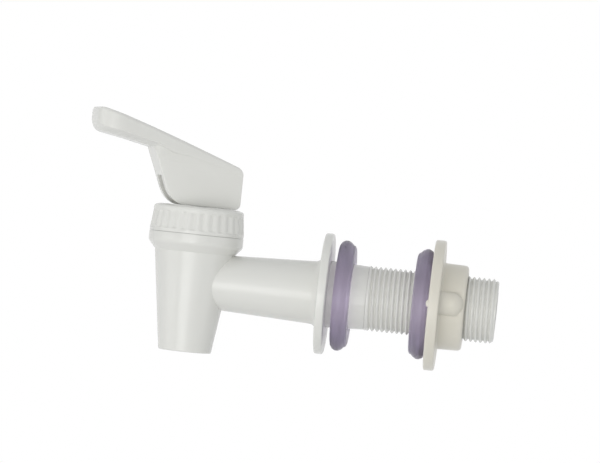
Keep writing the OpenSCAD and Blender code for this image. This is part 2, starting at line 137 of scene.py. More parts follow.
# %% [markdown]
# ## Light and background
#
# The picture is a cut-out on pure white. Its streaks tell where the light was: the one down the
# barrel lies just left of the axis and ends where the cone leans away, the one along the arm lies
# below its middle. A mirror direction worked out from each edge of a streak points at an edge of
# the same window, so one soft window stands a little left of the lens and a little below it. A
# broad panel behind the lens fills the flat middle, one on the left keeps the left half of every
# round form even, and a weak one on the right stops the falling side from going dull.
# A white world would flood the tap and wash its edges out, so the world is white only for rays
# that come from the camera, a mirror or a clear surface, and a dimmer grey for the light that
# falls on the tap. The floor lies well below the part and keeps its shadow. It glows a little, but
# only for the camera and for mirrors, so that it meets the white background without a line.

# %% A short hand for nodes
scene = bpy.context.scene
scene.view_settings.view_transform = "Standard"


def new_nodes(tree):
    """Clears a node tree and returns short hands for adding a node and joining sockets."""
    tree.nodes.clear()

    def add(kind, inputs=None, **properties):
        made = tree.nodes.new(kind)
        for key, value in properties.items():
            setattr(made, key, value)
        for key, value in (inputs or {}).items():
            if isinstance(value, bpy.types.NodeSocket):
                tree.links.new(value, made.inputs[key])
            else:
                made.inputs[key].default_value = value
        return made

    return add, tree.links.new


print("colours are shown as", scene.view_settings.view_transform)

# %% Light the world
AMBIENT = 0.60


def light_world():
    """White for what the camera, a mirror or clear plastic sees, grey for the light on the tap."""
    world = bpy.data.worlds.new("studio")
    scene.world = world
    world.use_nodes = True
    add, join = new_nodes(world.node_tree)
    path = add("ShaderNodeLightPath").outputs
    seen = add("ShaderNodeMath", {0: path["Is Camera Ray"], 1: path["Is Glossy Ray"]},
               operation="MAXIMUM")
    clear = add("ShaderNodeMath", {0: seen.outputs[0], 1: path["Is Transmission Ray"]},
                operation="MAXIMUM")
    white = add("ShaderNodeBackground", {"Color": (1, 1, 1, 1), "Strength": 1.0})
    grey = add("ShaderNodeBackground", {"Color": (0.97, 0.98, 1, 1), "Strength": AMBIENT})
    mix = add("ShaderNodeMixShader", {0: clear.outputs[0], 1: grey.outputs[0], 2: white.outputs[0]})
    out = add("ShaderNodeOutputWorld")
    join(mix.outputs[0], out.inputs["Surface"])


light_world()
print("grey light of", AMBIENT, "from all round")

# %% Hang the lamps
# Each lamp: turn from the -Y side towards +X and lift, both in degrees, its distance, width and
# height in metres, its watts and its colour.
LAMPS = {
    "window_lamp": (-14, -14, 1.1, 0.66, 0.60, 3.2, (1, 0.997, 0.985)),
    "front_panel": (0, -6, 1.6, 1.4, 1.8, 4.5, (1, 1, 1)),
    "left_panel": (-66, -8, 1.4, 0.9, 1.2, 2.7, (1, 1, 1)),
    "right_panel": (62, 0, 1.4, 0.9, 0.9, 0.9, (1, 1, 1)),
}
LAMP_TARGET = Vector((-0.01, 0, 0.005))


def hang_lamp(name, turn, lift, distance, width, height, watts, colour):
    """A rectangle of light that faces the tap."""
    data = bpy.data.lights.new(name, "AREA")
    data.shape = "RECTANGLE"
    data.size, data.size_y = width, height
    data.energy = watts
    data.color = colour
    lamp = bpy.data.objects.new(name, data)
    scene.collection.objects.link(lamp)
    turn, lift = math.radians(turn), math.radians(lift)
    level = math.cos(lift)
    way = Vector((math.sin(turn) * level, -math.cos(turn) * level, math.sin(lift)))
    lamp.location = LAMP_TARGET + way * distance
    lamp.rotation_euler = (-way).to_track_quat("-Z", "Y").to_euler()


for lamp_name, lamp_sizes in LAMPS.items():
    hang_lamp(lamp_name, *lamp_sizes)
print("lamps:", len(bpy.data.lights))

# %% Lay the floor
FLOOR_DROP, FLOOR_REACH = 0.45, 4.0
FLOOR_PAINT = 0.78
FLOOR_GLOW = 0.58


def lay_floor():
    """A wide pale floor whose own glow only the camera and mirrors see."""
    mesh = bpy.data.meshes.new("floor")
    far, z = FLOOR_REACH, body_low.z - FLOOR_DROP
    mesh.from_pydata([(-far, -far, z), (far, -far, z), (far, far, z), (-far, far, z)], [],
                     [(0, 1, 2, 3)])
    floor = bpy.data.objects.new("floor", mesh)
    scene.collection.objects.link(floor)
    material = bpy.data.materials.new("studio_floor")
    material.use_nodes = True
    add, join = new_nodes(material.node_tree)
    path = add("ShaderNodeLightPath").outputs
    own = add("ShaderNodeMath", {0: path["Is Camera Ray"], 1: path["Is Glossy Ray"]},
              operation="MAXIMUM")
    strength = add("ShaderNodeMath", {0: own.outputs[0], 1: FLOOR_GLOW}, operation="MULTIPLY")
    paint = add("ShaderNodeBsdfDiffuse", {"Color": (FLOOR_PAINT, FLOOR_PAINT, FLOOR_PAINT, 1)})
    glow = add("ShaderNodeEmission", {"Color": (1, 1, 1, 1), "Strength": strength.outputs[0]})
    both = add("ShaderNodeAddShader", {0: paint.outputs[0], 1: glow.outputs[0]})
    out = add("ShaderNodeOutputMaterial")
    join(both.outputs[0], out.inputs["Surface"])
    mesh.materials.append(material)


lay_floor()
print("floor", FLOOR_DROP, "m below the lowest point of the body")

# %% [markdown]
# ## Materials
#
# Nearly every surface here is moulded plastic, and no moulded plastic is one flat colour. Light
# enters it a little way and scatters, the colour drifts slightly where the melt flowed, and the
# skin carries a very fine orange peel that breaks up the highlights. One recipe with different
# numbers gives the white polypropylene, the cream nut, the soft washers and the hidden pieces.
# The washers let light through, so most of their violet comes from what the rubber soaks up
# inside, and a thick place looks darker than a thin one. Clear plastic would still throw a shadow
# as dark as wood's, so rays that only look for shadow pass through it and take on a faint tint.
# Patterns read object coordinates, so they stay on the plastic when the view or a pose changes.

# %% Recipe for moulded plastic
GLOSS_SPREAD = (0.08, 0.09)
PEEL_DEPTH = 0.08 * MM
CLEAR_SHADOW = (0.97, 0.96, 0.98, 1)


def plastic(name, colour, other, rough, grain=900, drift=45, bump=0.06, scatter=0.0,
            depth=1.5 * MM, see_through=0.0, ior=1.49, soak=None):
    """Moulded plastic: a drifting colour, uneven gloss and a fine orange peel.

    grain and drift are how fine the peel and the drift are, and depth is how far light scatters.
    soak is a colour and a strength: what a clear piece takes out of the light on its way through.
    """
    material = bpy.data.materials.new(name)
    material.use_nodes = True
    add, join = new_nodes(material.node_tree)
    place = add("ShaderNodeTexCoord")
    flow = add("ShaderNodeTexNoise", {"Vector": place.outputs["Object"], "Scale": drift,
                                      "Detail": 1.5, "Roughness": 0.5})
    tint = add("ShaderNodeMix", {"Factor": flow.outputs["Fac"]}, data_type="RGBA")
    tint.inputs["A"].default_value = (*colour, 1)
    tint.inputs["B"].default_value = (*other, 1)
    skin = add("ShaderNodeTexNoise", {"Vector": place.outputs["Object"], "Scale": grain,
                                      "Detail": 2.0, "Roughness": 0.5})
    gloss = add("ShaderNodeMapRange", {"Value": flow.outputs["Fac"],
                                       "To Min": rough - GLOSS_SPREAD[0],
                                       "To Max": rough + GLOSS_SPREAD[1]})
    peel = add("ShaderNodeBump", {"Height": skin.outputs["Fac"], "Strength": bump,
                                  "Distance": PEEL_DEPTH})
    shader = add("ShaderNodeBsdfPrincipled", {
        "Base Color": tint.outputs["Result"], "Roughness": gloss.outputs[0],
        "Normal": peel.outputs[0], "IOR": ior, "Subsurface Weight": scatter,
        "Subsurface Radius": (1, 1, 1), "Subsurface Scale": depth,
        "Transmission Weight": see_through})
    out = add("ShaderNodeOutputMaterial")
    join(shader.outputs[0], out.inputs["Surface"])
    if soak:
        inside = add("ShaderNodeVolumeAbsorption", {"Color": (*soak[0], 1), "Density": soak[1]})
        join(inside.outputs[0], out.inputs["Volume"])
        path = add("ShaderNodeLightPath")
        open_way = add("ShaderNodeBsdfTransparent", {"Color": CLEAR_SHADOW})
        both = add("ShaderNodeMixShader", {0: path.outputs["Is Shadow Ray"], 1: shader.outputs[0],
                                           2: open_way.outputs[0]})
        join(both.outputs[0], out.inputs["Surface"])
    return material


print("the plastic's roughness drifts over", round(sum(GLOSS_SPREAD), 2))

# %% Recipe for steel
LINE_SCALE = 800
LINE_DEPTH = 0.03 * MM
LINE_GLOSS = (0.08, 0.1)
LINE_SHADE = 0.8


def metal(name, colour, rough, stretch):
    """Drawn or ground steel: fine lines along one direction."""
    material = bpy.data.materials.new(name)
    material.use_nodes = True
    add, join = new_nodes(material.node_tree)
    place = add("ShaderNodeTexCoord")
    along = add("ShaderNodeMapping", {"Vector": place.outputs["Object"], "Scale": stretch})
    lines = add("ShaderNodeTexNoise", {"Vector": along.outputs[0], "Scale": LINE_SCALE,
                                       "Detail": 3.0})
    tone = add("ShaderNodeMapRange", {"Value": lines.outputs["Fac"],
                                      "To Min": rough - LINE_GLOSS[0],
                                      "To Max": rough + LINE_GLOSS[1]})
    tint = add("ShaderNodeMix", {"Factor": lines.outputs["Fac"]}, data_type="RGBA")
    tint.inputs["A"].default_value = (*colour, 1)
    tint.inputs["B"].default_value = (*[c * LINE_SHADE for c in colour], 1)
    relief = add("ShaderNodeBump", {"Height": lines.outputs["Fac"], "Strength": 0.08,
                                    "Distance": LINE_DEPTH})
    shader = add("ShaderNodeBsdfPrincipled", {
        "Base Color": tint.outputs["Result"], "Roughness": tone.outputs[0],
        "Normal": relief.outputs[0], "Metallic": 1.0})
    out = add("ShaderNodeOutputMaterial")
    join(shader.outputs[0], out.inputs["Surface"])
    return material


print("steel with lines", LINE_DEPTH / MM, "mm deep")

# %% Mix the finishes
white_plastic = plastic("white_plastic", (0.762, 0.762, 0.724), (0.737, 0.737, 0.699), 0.24,
                        scatter=0.22, depth=1.6 * MM)
cream_plastic = plastic("cream_plastic", (0.742, 0.717, 0.635), (0.702, 0.677, 0.59), 0.34,
                        scatter=0.3, depth=1.6 * MM, drift=70)
violet_rubber = plastic("violet_rubber", (0.90, 0.86, 0.93), (0.75, 0.71, 0.80), 0.40, grain=500,
                        drift=110, bump=0.12, see_through=0.92, ior=1.42,
                        soak=((0.48, 0.42, 0.57), 108))
milky_silicone = plastic("milky_silicone", (0.72, 0.70, 0.64), (0.66, 0.64, 0.58), 0.42,
                         scatter=0.6, depth=2.0 * MM, see_through=0.15, ior=1.41)
white_acetal = plastic("white_acetal", (0.78, 0.78, 0.75), (0.73, 0.73, 0.70), 0.36, scatter=0.08)
spring_wire = metal("spring_wire", (0.56, 0.56, 0.57), 0.28, (1, 1, 0.2))
ground_steel = metal("ground_steel", (0.60, 0.60, 0.61), 0.25, (1, 1, 0.3))
print("finishes mixed; materials in the scene:", len(bpy.data.materials))

# %% [markdown]
# ## Turned shapes
#
# The bonnet, the nut and the washers are all round, so each can be drawn as half of its
# section and spun about an axis. Moulded edges are never sharp: the helper below walks round the
# section and replaces each corner by a small arc of a stated radius before it is spun. The mesh
# is spun about an upright axis and then moved to its place, so its object stays at the origin.
# Some pieces are built solid on solid instead. A boolean joins or cuts them, and the modifier is
# baked into a plain mesh each time.

# %% Round the corners of a section
NEARLY_STRAIGHT = math.radians(178)
ROOM_ON_A_SIDE = 0.49


def rounded(corners, steps):
    """Points round a closed section; each corner is (a, b, radius of its edge)."""
    points = []
    count = len(corners)
    for i, (a, b, radius) in enumerate(corners):
        here = Vector((a, b))
        before = Vector(corners[i - 1][:2]) - here
        after = Vector(corners[(i + 1) % count][:2]) - here
        turn = before.angle(after, math.pi)
        if radius <= 0 or turn > NEARLY_STRAIGHT:
            points.append(here)
            continue
        back = radius / math.tan(turn / 2)
        back = min(back, before.length * ROOM_ON_A_SIDE, after.length * ROOM_ON_A_SIDE)
        start = here + before.normalized() * back
        end = here + after.normalized() * back
        for k in range(steps + 1):
            t = k / steps
            points.append(start.lerp(here, t).lerp(here.lerp(end, t), t))
    return points


test = rounded([(0, 0, 1), (4, 0, 1), (4, 4, 1), (0, 4, 1)], 5)
print("a square with rounded corners has", len(test), "points")

# %% Finish a raw mesh
# Edges that turn by more than this many degrees stay sharp: on plain moulded shapes, and where a
# thread or ribs were pressed in.
SHARP_PLAIN, SHARP_RELIEF = 32, 38
WELD = 1e-7


def finish_mesh(name, mesh, material):
    """Turns a raw mesh into a clean object: outward faces, smooth shading, one material."""
    work = bmesh.new()
    work.from_mesh(mesh)
    bmesh.ops.remove_doubles(work, verts=work.verts, dist=WELD)
    bmesh.ops.recalc_face_normals(work, faces=work.faces)
    work.to_mesh(mesh)
    work.free()
    mesh.materials.clear()
    mesh.materials.append(material)
    mesh.shade_smooth()
    mesh.set_sharp_from_angle(angle=math.radians(SHARP_PLAIN))
    obj = bpy.data.objects.new(name, mesh)
    scene.collection.objects.link(obj)
    return obj


def triangles(obj):
    """How many triangles a piece has."""
    obj.data.calc_loop_triangles()
    return len(obj.data.loop_triangles)


print("edges stay sharp above", SHARP_PLAIN, "degrees")

# %% Turn a section
SHANK_FRAME = Matrix.Rotation(math.radians(90), 4, "Y")
BARREL_FRAME = Matrix.Translation((barrel_x, 0, 0))


def turned(name, section, put, material, segments):
    """Spins a closed section of (radius, height) points and puts it in its place."""
    count = len(section)
    verts = []
    for s in range(segments):
        angle = 2 * math.pi * s / segments
        for point in section:
            verts.append((point[0] * math.cos(angle), point[0] * math.sin(angle), point[1]))
    faces = []
    for s in range(segments):
        for k in range(count):
            a, b = s * count + k, s * count + (k + 1) % count
            c, d = ((s + 1) % segments) * count + (k + 1) % count, ((s + 1) % segments) * count + k
            faces.append((a, d, c, b))
    mesh = bpy.data.meshes.new(name)
    mesh.from_pydata(verts, [], faces)
    mesh.validate()
    mesh.transform(put)
    return finish_mesh(name, mesh, material)


def closed_turn(name, section, put, material, sides=64):
    """Spins an open section whose ends lie on the axis, with a single point at each pole."""
    verts = [(0, 0, section[0][1])]
    rings = section[1:-1]
    for radius, z in rings:
        for s in range(sides):
            a = 2 * math.pi * s / sides
            verts.append((radius * math.cos(a), radius * math.sin(a), z))
    verts.append((0, 0, section[-1][1]))
    last = len(verts) - 1
    faces = []
    for s in range(sides):
        n = (s + 1) % sides
        faces.append((0, 1 + n, 1 + s))
        for i in range(len(rings) - 1):
            a = 1 + i * sides
            faces.append((a + s, a + n, a + n + sides, a + s + sides))
        a = 1 + (len(rings) - 1) * sides
        faces.append((a + s, a + n, last))
    mesh = bpy.data.meshes.new(name)
    mesh.from_pydata(verts, [], faces)
    mesh.transform(put)
    return finish_mesh(name, mesh, material)


print("pieces round the barrel are moved to x =", round(barrel_x / MM, 1), "mm")

# %% Join and cut solids


def combine(obj, other, operation):
    """Joins or cuts two closed solids and keeps the result in the first."""
    step = obj.modifiers.new("solid", "BOOLEAN")
    step.operation = operation
    step.solver = "MANIFOLD"
    step.object = other
    settle(obj)
    bpy.data.objects.remove(other)
    return obj


def settle(obj):
    """Bakes the object's modifiers into a plain mesh."""
    bpy.context.view_layer.update()
    graph = bpy.context.evaluated_depsgraph_get()
    mesh = bpy.data.meshes.new_from_object(obj.evaluated_get(graph), depsgraph=graph)
    obj.modifiers.clear()
    obj.data = mesh
    mesh.name = obj.name
    return obj


def crease(obj, degrees, relief):
    """Marks edges that turn by more than some degrees, and on a relief fewer of them."""
    work = bmesh.new()
    work.from_mesh(obj.data)
    for edge in work.edges:
        turn = edge.calc_face_angle(0.0) if len(edge.link_faces) == 2 else 0.0
        middle = (edge.verts[0].co + edge.verts[1].co) / 2
        limit = SHARP_RELIEF if relief(middle) else degrees
        edge.smooth = turn < math.radians(limit)
    work.to_mesh(obj.data)
    work.free()


def merged_copy(node, name, material):
    """A welded copy of a mechanical piece, ready for solid work."""
    return finish_mesh(name, nodes[node].data.copy(), material)


print("mechanical pieces that can be copied:", len(nodes))

# %% [markdown]
# ## The screw thread as a rule
#
# A thread can be swept along a helix, but the swept ridge then has to be joined to the shank and
# faded out at both ends. A simpler way treats it as a relief on a plain sleeve. Each point of
# the sleeve knows its height and its angle, and those two numbers say how deep the groove is at
# that point. A small Geometry Nodes tree works this out for all points at once. Because pitch,
# depth and ends are named inputs, the same tree cuts the shank, the nut, the barrel and the cap.
# At the mouth of the shank the thread runs out through a chamfer, so past "Nose start" each point
# goes in at least as deep as a cone does.

# %% Sums of math nodes


class NodeSum:
    """Builds small sums of math nodes in a geometry tree."""

    def __init__(self, tree):
        self.tree = tree

    def node(self, kind, **properties):
        made = self.tree.nodes.new(kind)
        for key, value in properties.items():
            setattr(made, key, value)
        return made

    def feed(self, socket, value):
        if isinstance(value, bpy.types.NodeSocket):
            self.tree.links.new(value, socket)
        else:
            socket.default_value = value

    def math(self, operation, *values, clamp=False):
        made = self.node("ShaderNodeMath", operation=operation, use_clamp=clamp)
        for socket, value in zip(made.inputs, values):
            self.feed(socket, value)
        return made.outputs[0]

    def smooth_step(self, value, low, high):
        made = self.node("ShaderNodeMapRange", interpolation_type="SMOOTHSTEP")
        self.feed(made.inputs["Value"], value)
        self.feed(made.inputs["From Min"], low)
        self.feed(made.inputs["From Max"], high)
        return made.outputs["Result"]

    def radius_of(self, x, y):
        squares = self.math("ADD", self.math("MULTIPLY", x, x), self.math("MULTIPLY", y, y))
        return self.math("SQRT", squares)

    def between(self, z, low, high, fade):
        """Two shares: one fades in above low, the other fades out below high."""
        rise = self.smooth_step(z, low, self.math("ADD", low, fade))
        fall = self.smooth_step(z, high, self.math("SUBTRACT", high, fade))
        return rise, fall

    def position(self):
        split = self.node("ShaderNodeSeparateXYZ")
        self.tree.links.new(self.node("GeometryNodeInputPosition").outputs[0], split.inputs[0])
        return split.outputs

    def draw_in(self, geometry, x, y, z, radius, cut):
        """Moves every point towards the upright axis by cut."""
        keep = self.math("SUBTRACT", 1.0, self.math("DIVIDE", cut, radius))
        moved = self.node("ShaderNodeCombineXYZ")
        self.tree.links.new(self.math("MULTIPLY", x, keep), moved.inputs[0])
        self.tree.links.new(self.math("MULTIPLY", y, keep), moved.inputs[1])
        self.tree.links.new(z, moved.inputs[2])
        shift = self.node("GeometryNodeSetPosition")
        self.tree.links.new(geometry, shift.inputs["Geometry"])
        self.tree.links.new(moved.outputs[0], shift.inputs["Position"])
        return shift.outputs[0]


print("short hands:", ", ".join(name for name in vars(NodeSum) if name[0] != "_"))

# %% Trees with named inputs


def new_tree(name, numbers):
    """A geometry tree with a geometry input, named number inputs and a material input."""
    tree = bpy.data.node_groups.new(name, "GeometryNodeTree")
    tree.is_modifier = True
    face = tree.interface
    face.new_socket("Geometry", in_out="INPUT", socket_type="NodeSocketGeometry")
    for label in numbers:
        face.new_socket(label, in_out="INPUT", socket_type="NodeSocketFloat")
    face.new_socket("Material", in_out="INPUT", socket_type="NodeSocketMaterial")
    face.new_socket("Geometry", in_out="OUTPUT", socket_type="NodeSocketGeometry")
    return tree, NodeSum(tree), tree.nodes.new("NodeGroupInput")


def close_tree(tree, given, geometry):
    """Every tree ends the same way: real geometry with its material set."""
    real = tree.nodes.new("GeometryNodeRealizeInstances")
    paint = tree.nodes.new("GeometryNodeSetMaterial")
    out = tree.nodes.new("NodeGroupOutput")
    tree.links.new(geometry, real.inputs[0])
    tree.links.new(real.outputs[0], paint.inputs["Geometry"])
    tree.links.new(given.outputs["Material"], paint.inputs["Material"])
    tree.links.new(paint.outputs[0], out.inputs[0])


def run_tree(obj, tree, material, **numbers):
    """Runs a tree on an object with the given inputs and keeps the plain mesh."""
    step = obj.modifiers.new(tree.name, "NODES")
    step.node_group = tree
    for item in tree.interface.items_tree:
        if item.in_out != "INPUT" or item.socket_type == "NodeSocketGeometry":
            continue
        label = item.name.lower().replace(" ", "_")
        step[item.identifier] = material if label == "material" else float(numbers[label])
    obj.update_tag()
    settle(obj)
    obj.data.shade_smooth()
    obj.data.set_sharp_from_angle(angle=math.radians(SHARP_RELIEF))
    return obj


print("after a tree has run, edges stay sharp above", SHARP_RELIEF, "degrees")

# %% Node tree: helical thread
CREST_FLAT, ROOT_FLAT = 0.12, 0.12
GROOVE_POWER = 1.35
NOSE_SLOPE = 0.8


def thread_tree():
    """How deep each point of a sleeve lies, from its height and its angle."""
    names = ["Pitch", "Depth", "Start", "End", "Fade", "Wall radius", "Wall reach", "Nose start"]
    tree, sums, given = new_tree("helical_thread", names)
    value = given.outputs
    x, y, z = sums.position()
    angle = sums.math("ARCTAN2", y, x)
    turns = sums.math("DIVIDE", angle, 2 * math.pi)
    along = sums.math("DIVIDE", z, value["Pitch"])
    phase = sums.math("FRACT", sums.math("SUBTRACT", along, turns))
    ridge = sums.math("ABSOLUTE", sums.math("MULTIPLY_ADD", phase, 2.0, -1.0))
    slope = sums.math("DIVIDE", sums.math("SUBTRACT", ridge, CREST_FLAT),
                      1 - CREST_FLAT - ROOT_FLAT, clamp=True)
    groove = sums.math("POWER", slope, GROOVE_POWER)
    rise, fall = sums.between(z, value["Start"], value["End"], value["Fade"])
    shown = sums.math("MULTIPLY", rise, fall)
    radius = sums.radius_of(x, y)
    off = sums.math("ABSOLUTE", sums.math("SUBTRACT", radius, value["Wall radius"]))
    near = sums.math("LESS_THAN", off, value["Wall reach"])
    turned_off = sums.math("MULTIPLY", sums.math("SUBTRACT", z, value["Nose start"]), NOSE_SLOPE)
    thread = sums.math("MULTIPLY", sums.math("MULTIPLY", groove, shown), value["Depth"])
    cut = sums.math("MULTIPLY", sums.math("MAXIMUM", thread, turned_off), near)
    close_tree(tree, given, sums.draw_in(value["Geometry"], x, y, z, radius, cut))
    return tree


THREAD = thread_tree()
print("thread tree:", len(THREAD.nodes), "nodes")

# %% [markdown]
# ## A sleeve that follows the helix
#
# Faces in level rings would cut across the crests and make them ragged. The rows of this sleeve
# climb with the thread instead, ten rows to a turn, so each crest runs along an edge. The sleeve
# is a closed ring, ready to be joined on by a boolean: a room is first cleared round the plain
# wall, and the sleeve overlaps the solid behind that room.

# %% A sleeve whose faces climb with the thread
ROWS_A_TURN, SIDES_OF_SLEEVE = 10, 120
WALL_REACH = 0.05 * MM


def threaded_sleeve(name, wall, other, low, high, fade, lead, depth, material, put, ends, nose):
    """A closed ring whose wall carries the thread; the other wall is plain.

    Past the two ends of the ring the rows are pressed flat and merge. ends moves where the thread
    fades out, and nose is the length of a chamfer that the thread runs out through.
    """
    rows, segments = ROWS_A_TURN, SIDES_OF_SLEEVE
    step = lead / rows
    last = math.ceil((high - low + lead) / step)
    verts, faces = [], []
    for s in range(segments):
        angle = 2 * math.pi * s / segments
        c, d = math.cos(angle), math.sin(angle)
        for k in range(last + 1):
            z = low - lead + k * step + lead * s / segments
            verts.append((wall * c, wall * d, min(max(z, low), high)))
        verts += [(other * c, other * d, high), (other * c, other * d, low)]
    count = last + 3
    for s in range(segments):
        here, there = s * count, (s + 1) % segments * count
        shift = rows if s == segments - 1 else 0
        for k in range(last):
            a, b = min(k + shift, last), min(k + 1 + shift, last)
            corners = [here + k, here + k + 1, there + b, there + a]
            faces.append(tuple(dict.fromkeys(corners)))
        faces.append((here + last, here + last + 1, there + last + 1, there + last))
        faces.append((here + last + 1, here + last + 2, there + last + 2, there + last + 1))
        faces.append((here + last + 2, here, there, there + last + 2))
    mesh = bpy.data.meshes.new(name)
    mesh.from_pydata(verts, [], faces)
    sleeve = finish_mesh(name, mesh, material)
    run_tree(sleeve, THREAD, material, pitch=lead, depth=depth, start=low + ends[0],
             end=high + ends[1], fade=fade, wall_radius=wall, wall_reach=WALL_REACH,
             nose_start=high - nose if nose else high + lead)
    sleeve.data.transform(put)
    return sleeve


print("rows of a sleeve climb", round(pitch / ROWS_A_TURN / MM, 3), "mm each")

# %% Set a thread into a wall
# Room beyond the root and beyond the crest, on a shaft and in a bore, and the sleeve's overlap.
SHAFT_ROOM = (0.6 * MM, 0.6 * MM)
BORE_ROOM = (0.8 * MM, 0.4 * MM)
OVERLAP = 0.2 * MM


def tube(name, outer, inner, low, high, put, material):
    section = [(outer, low), (outer, high), (inner, high), (inner, low)]
    return turned(name, section, put, material, segments=120)


def cut_thread(obj, wall, on_shaft, low, high, fade, lead, depth, put, ends=(0, 0), nose=0.0):
    """Clears a room round a plain wall and sets a threaded sleeve into it."""
    material = obj.data.materials[0]
    deep = wall - depth - SHAFT_ROOM[0] if on_shaft else wall + BORE_ROOM[0]
    free = wall + SHAFT_ROOM[1] if on_shaft else wall - depth - BORE_ROOM[1]
    room = tube("thread_room", max(deep, free), min(deep, free), low, high + nose, put, material)
    combine(obj, room, "DIFFERENCE")
    back = deep - OVERLAP if on_shaft else deep + OVERLAP
    sleeve = threaded_sleeve("thread_sleeve", wall, back, low, high, fade, lead, depth, material,
                             put, ends, nose)
    return combine(obj, sleeve, "UNION")


print("a thread's sleeve overlaps the solid behind it by", OVERLAP / MM, "mm")

# %% [markdown]
# ## The tap body
#
# Barrel, arm, flange and shank come out of one mould. The mechanical model already has that
# exact shape, bores included, with a plain cylinder where the thread belongs. So the body starts
# as a welded copy of it, and the threaded sleeve takes the plain cylinder's place. The upstand
# under the bonnet gets a coarser thread in the same way, which shows when the bonnet is
# unscrewed. The real moulding has crisp edges at the seam and the flange, so edges there are
# marked sharp at a smaller angle than on the threads.

# %% Make the body
THREAD_DEPTH, THREAD_FADE = 0.80 * MM, 1.4 * MM
THREAD_IN, MOUTH_LIP = 0.35 * MM, 0.05 * MM
THREAD_ENDS, NOSE = (-0.2 * MM, 1.6 * MM), 1.1 * MM
CAP_THREAD_DEPTH, CAP_THREAD_FADE = 0.55 * MM, 0.5 * MM
SEAM_STEP = 0.8 * MM
UPSTAND_R, UPSTAND_TOP, UPSTAND_LIP = 12.2 * MM, 19.4 * MM, 0.6 * MM
SHARP_BODY = 14
BARREL_SIDE = -20 * MM


def on_thread(point):
    """True on the shank's thread and on the upstand under the bonnet."""
    return point.x > thread_start or (point.z > seam_z + SEAM_STEP and point.x < BARREL_SIDE)


def make_body():
    """A copy of the moulding with both threads cut into it."""
    body = merged_copy("tap_body", "body_moulding", white_plastic)
    cut_thread(body, crest_r, True, thread_start + THREAD_IN, shank_end - MOUTH_LIP, THREAD_FADE,
               pitch, THREAD_DEPTH, SHANK_FRAME, THREAD_ENDS, NOSE)
    cut_thread(body, UPSTAND_R, True, seam_z + SEAM_STEP, UPSTAND_TOP - UPSTAND_LIP,
               CAP_THREAD_FADE, cap_pitch, CAP_THREAD_DEPTH, BARREL_FRAME)
    crease(body, SHARP_BODY, on_thread)
    return body


body = make_body()
print("body moulding:", triangles(body), "triangles")

# %% [markdown]
# ## The bonnet
#
# The bonnet is a cap that a hand screws tight, so its skirt carries thirty soft ribs. The cap is
# turned from its section first. Then a second small node tree presses the narrow grooves between
# the ribs into the wall. It works like the thread: every point of the wall knows its angle and
# its height, and the grooves fade out below the plain band and above the bead.

# %% Node tree: grip ribs
CROWN_SHARE = 0.25


def rib_tree():
    """How deep each point of the cap's wall lies, from its angle and its height."""
    names = ["Count", "Depth", "Groove", "Low", "High", "Fade", "Wall radius"]
    tree, sums, given = new_tree("grip_ribs", names)
    value = given.outputs
    x, y, z = sums.position()
    angle = sums.math("DIVIDE", sums.math("ARCTAN2", y, x), 2 * math.pi)
    phase = sums.math("FRACT", sums.math("MULTIPLY", sums.math("ADD", angle, 2.0), value["Count"]))
    off = sums.math("ABSOLUTE", sums.math("MULTIPLY_ADD", phase, 2.0, -1.0))
    notch = sums.math("SUBTRACT", 1.0, sums.smooth_step(off, 0.0, value["Groove"]))
    round_top = sums.math("MULTIPLY", sums.math("SUBTRACT", 1.0, off), CROWN_SHARE)
    crown = sums.math("MULTIPLY", round_top, sums.math("SUBTRACT", 1.0, off))
    press = sums.math("ADD", sums.math("MULTIPLY", notch, 1 - CROWN_SHARE), crown)
    rise, fall = sums.between(z, value["Low"], value["High"], value["Fade"])
    radius = sums.radius_of(x, y)
    outer = sums.math("GREATER_THAN", radius, value["Wall radius"])
    shown = sums.math("MULTIPLY", sums.math("MULTIPLY", rise, fall), outer)
    cut = sums.math("MULTIPLY", sums.math("MULTIPLY", press, shown), value["Depth"])
    close_tree(tree, given, sums.draw_in(value["Geometry"], x, y, z, radius, cut))
    return tree


RIBS = rib_tree()
print("rib tree:", len(RIBS.nodes), "nodes")

# %% Make the bonnet
RIB_COUNT, SIDES_OF_RIB = 30, 14
RIB_DEPTH, RIB_GROOVE, RIB_FADE = 0.34 * MM, 0.95, 0.45 * MM
BEAD_HEIGHT, BAND_HEIGHT = 1.0 * MM, 2.0 * MM
ROOF, CLAMP = 1.7 * MM, 1.1 * MM
CAP_LEAN, CAP_EDGE, CAP_FALL = 0.65 * MM, 0.9 * MM, 0.35 * MM
WALL_STEPS = 34
rim_r = (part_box("seat_cup")[1].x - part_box("seat_cup")[0].x) / 2
cap_wall_r = 12.28 * MM
land_r, stem_hole_r, groove_r = 12.0 * MM, 2.58 * MM, rim_r - 1.6 * MM
RIBS_INTO_BAND, RIBS_DEEPEST, UNDER_ROOF = 0.1 * MM, 1.2 * MM, 0.4 * MM


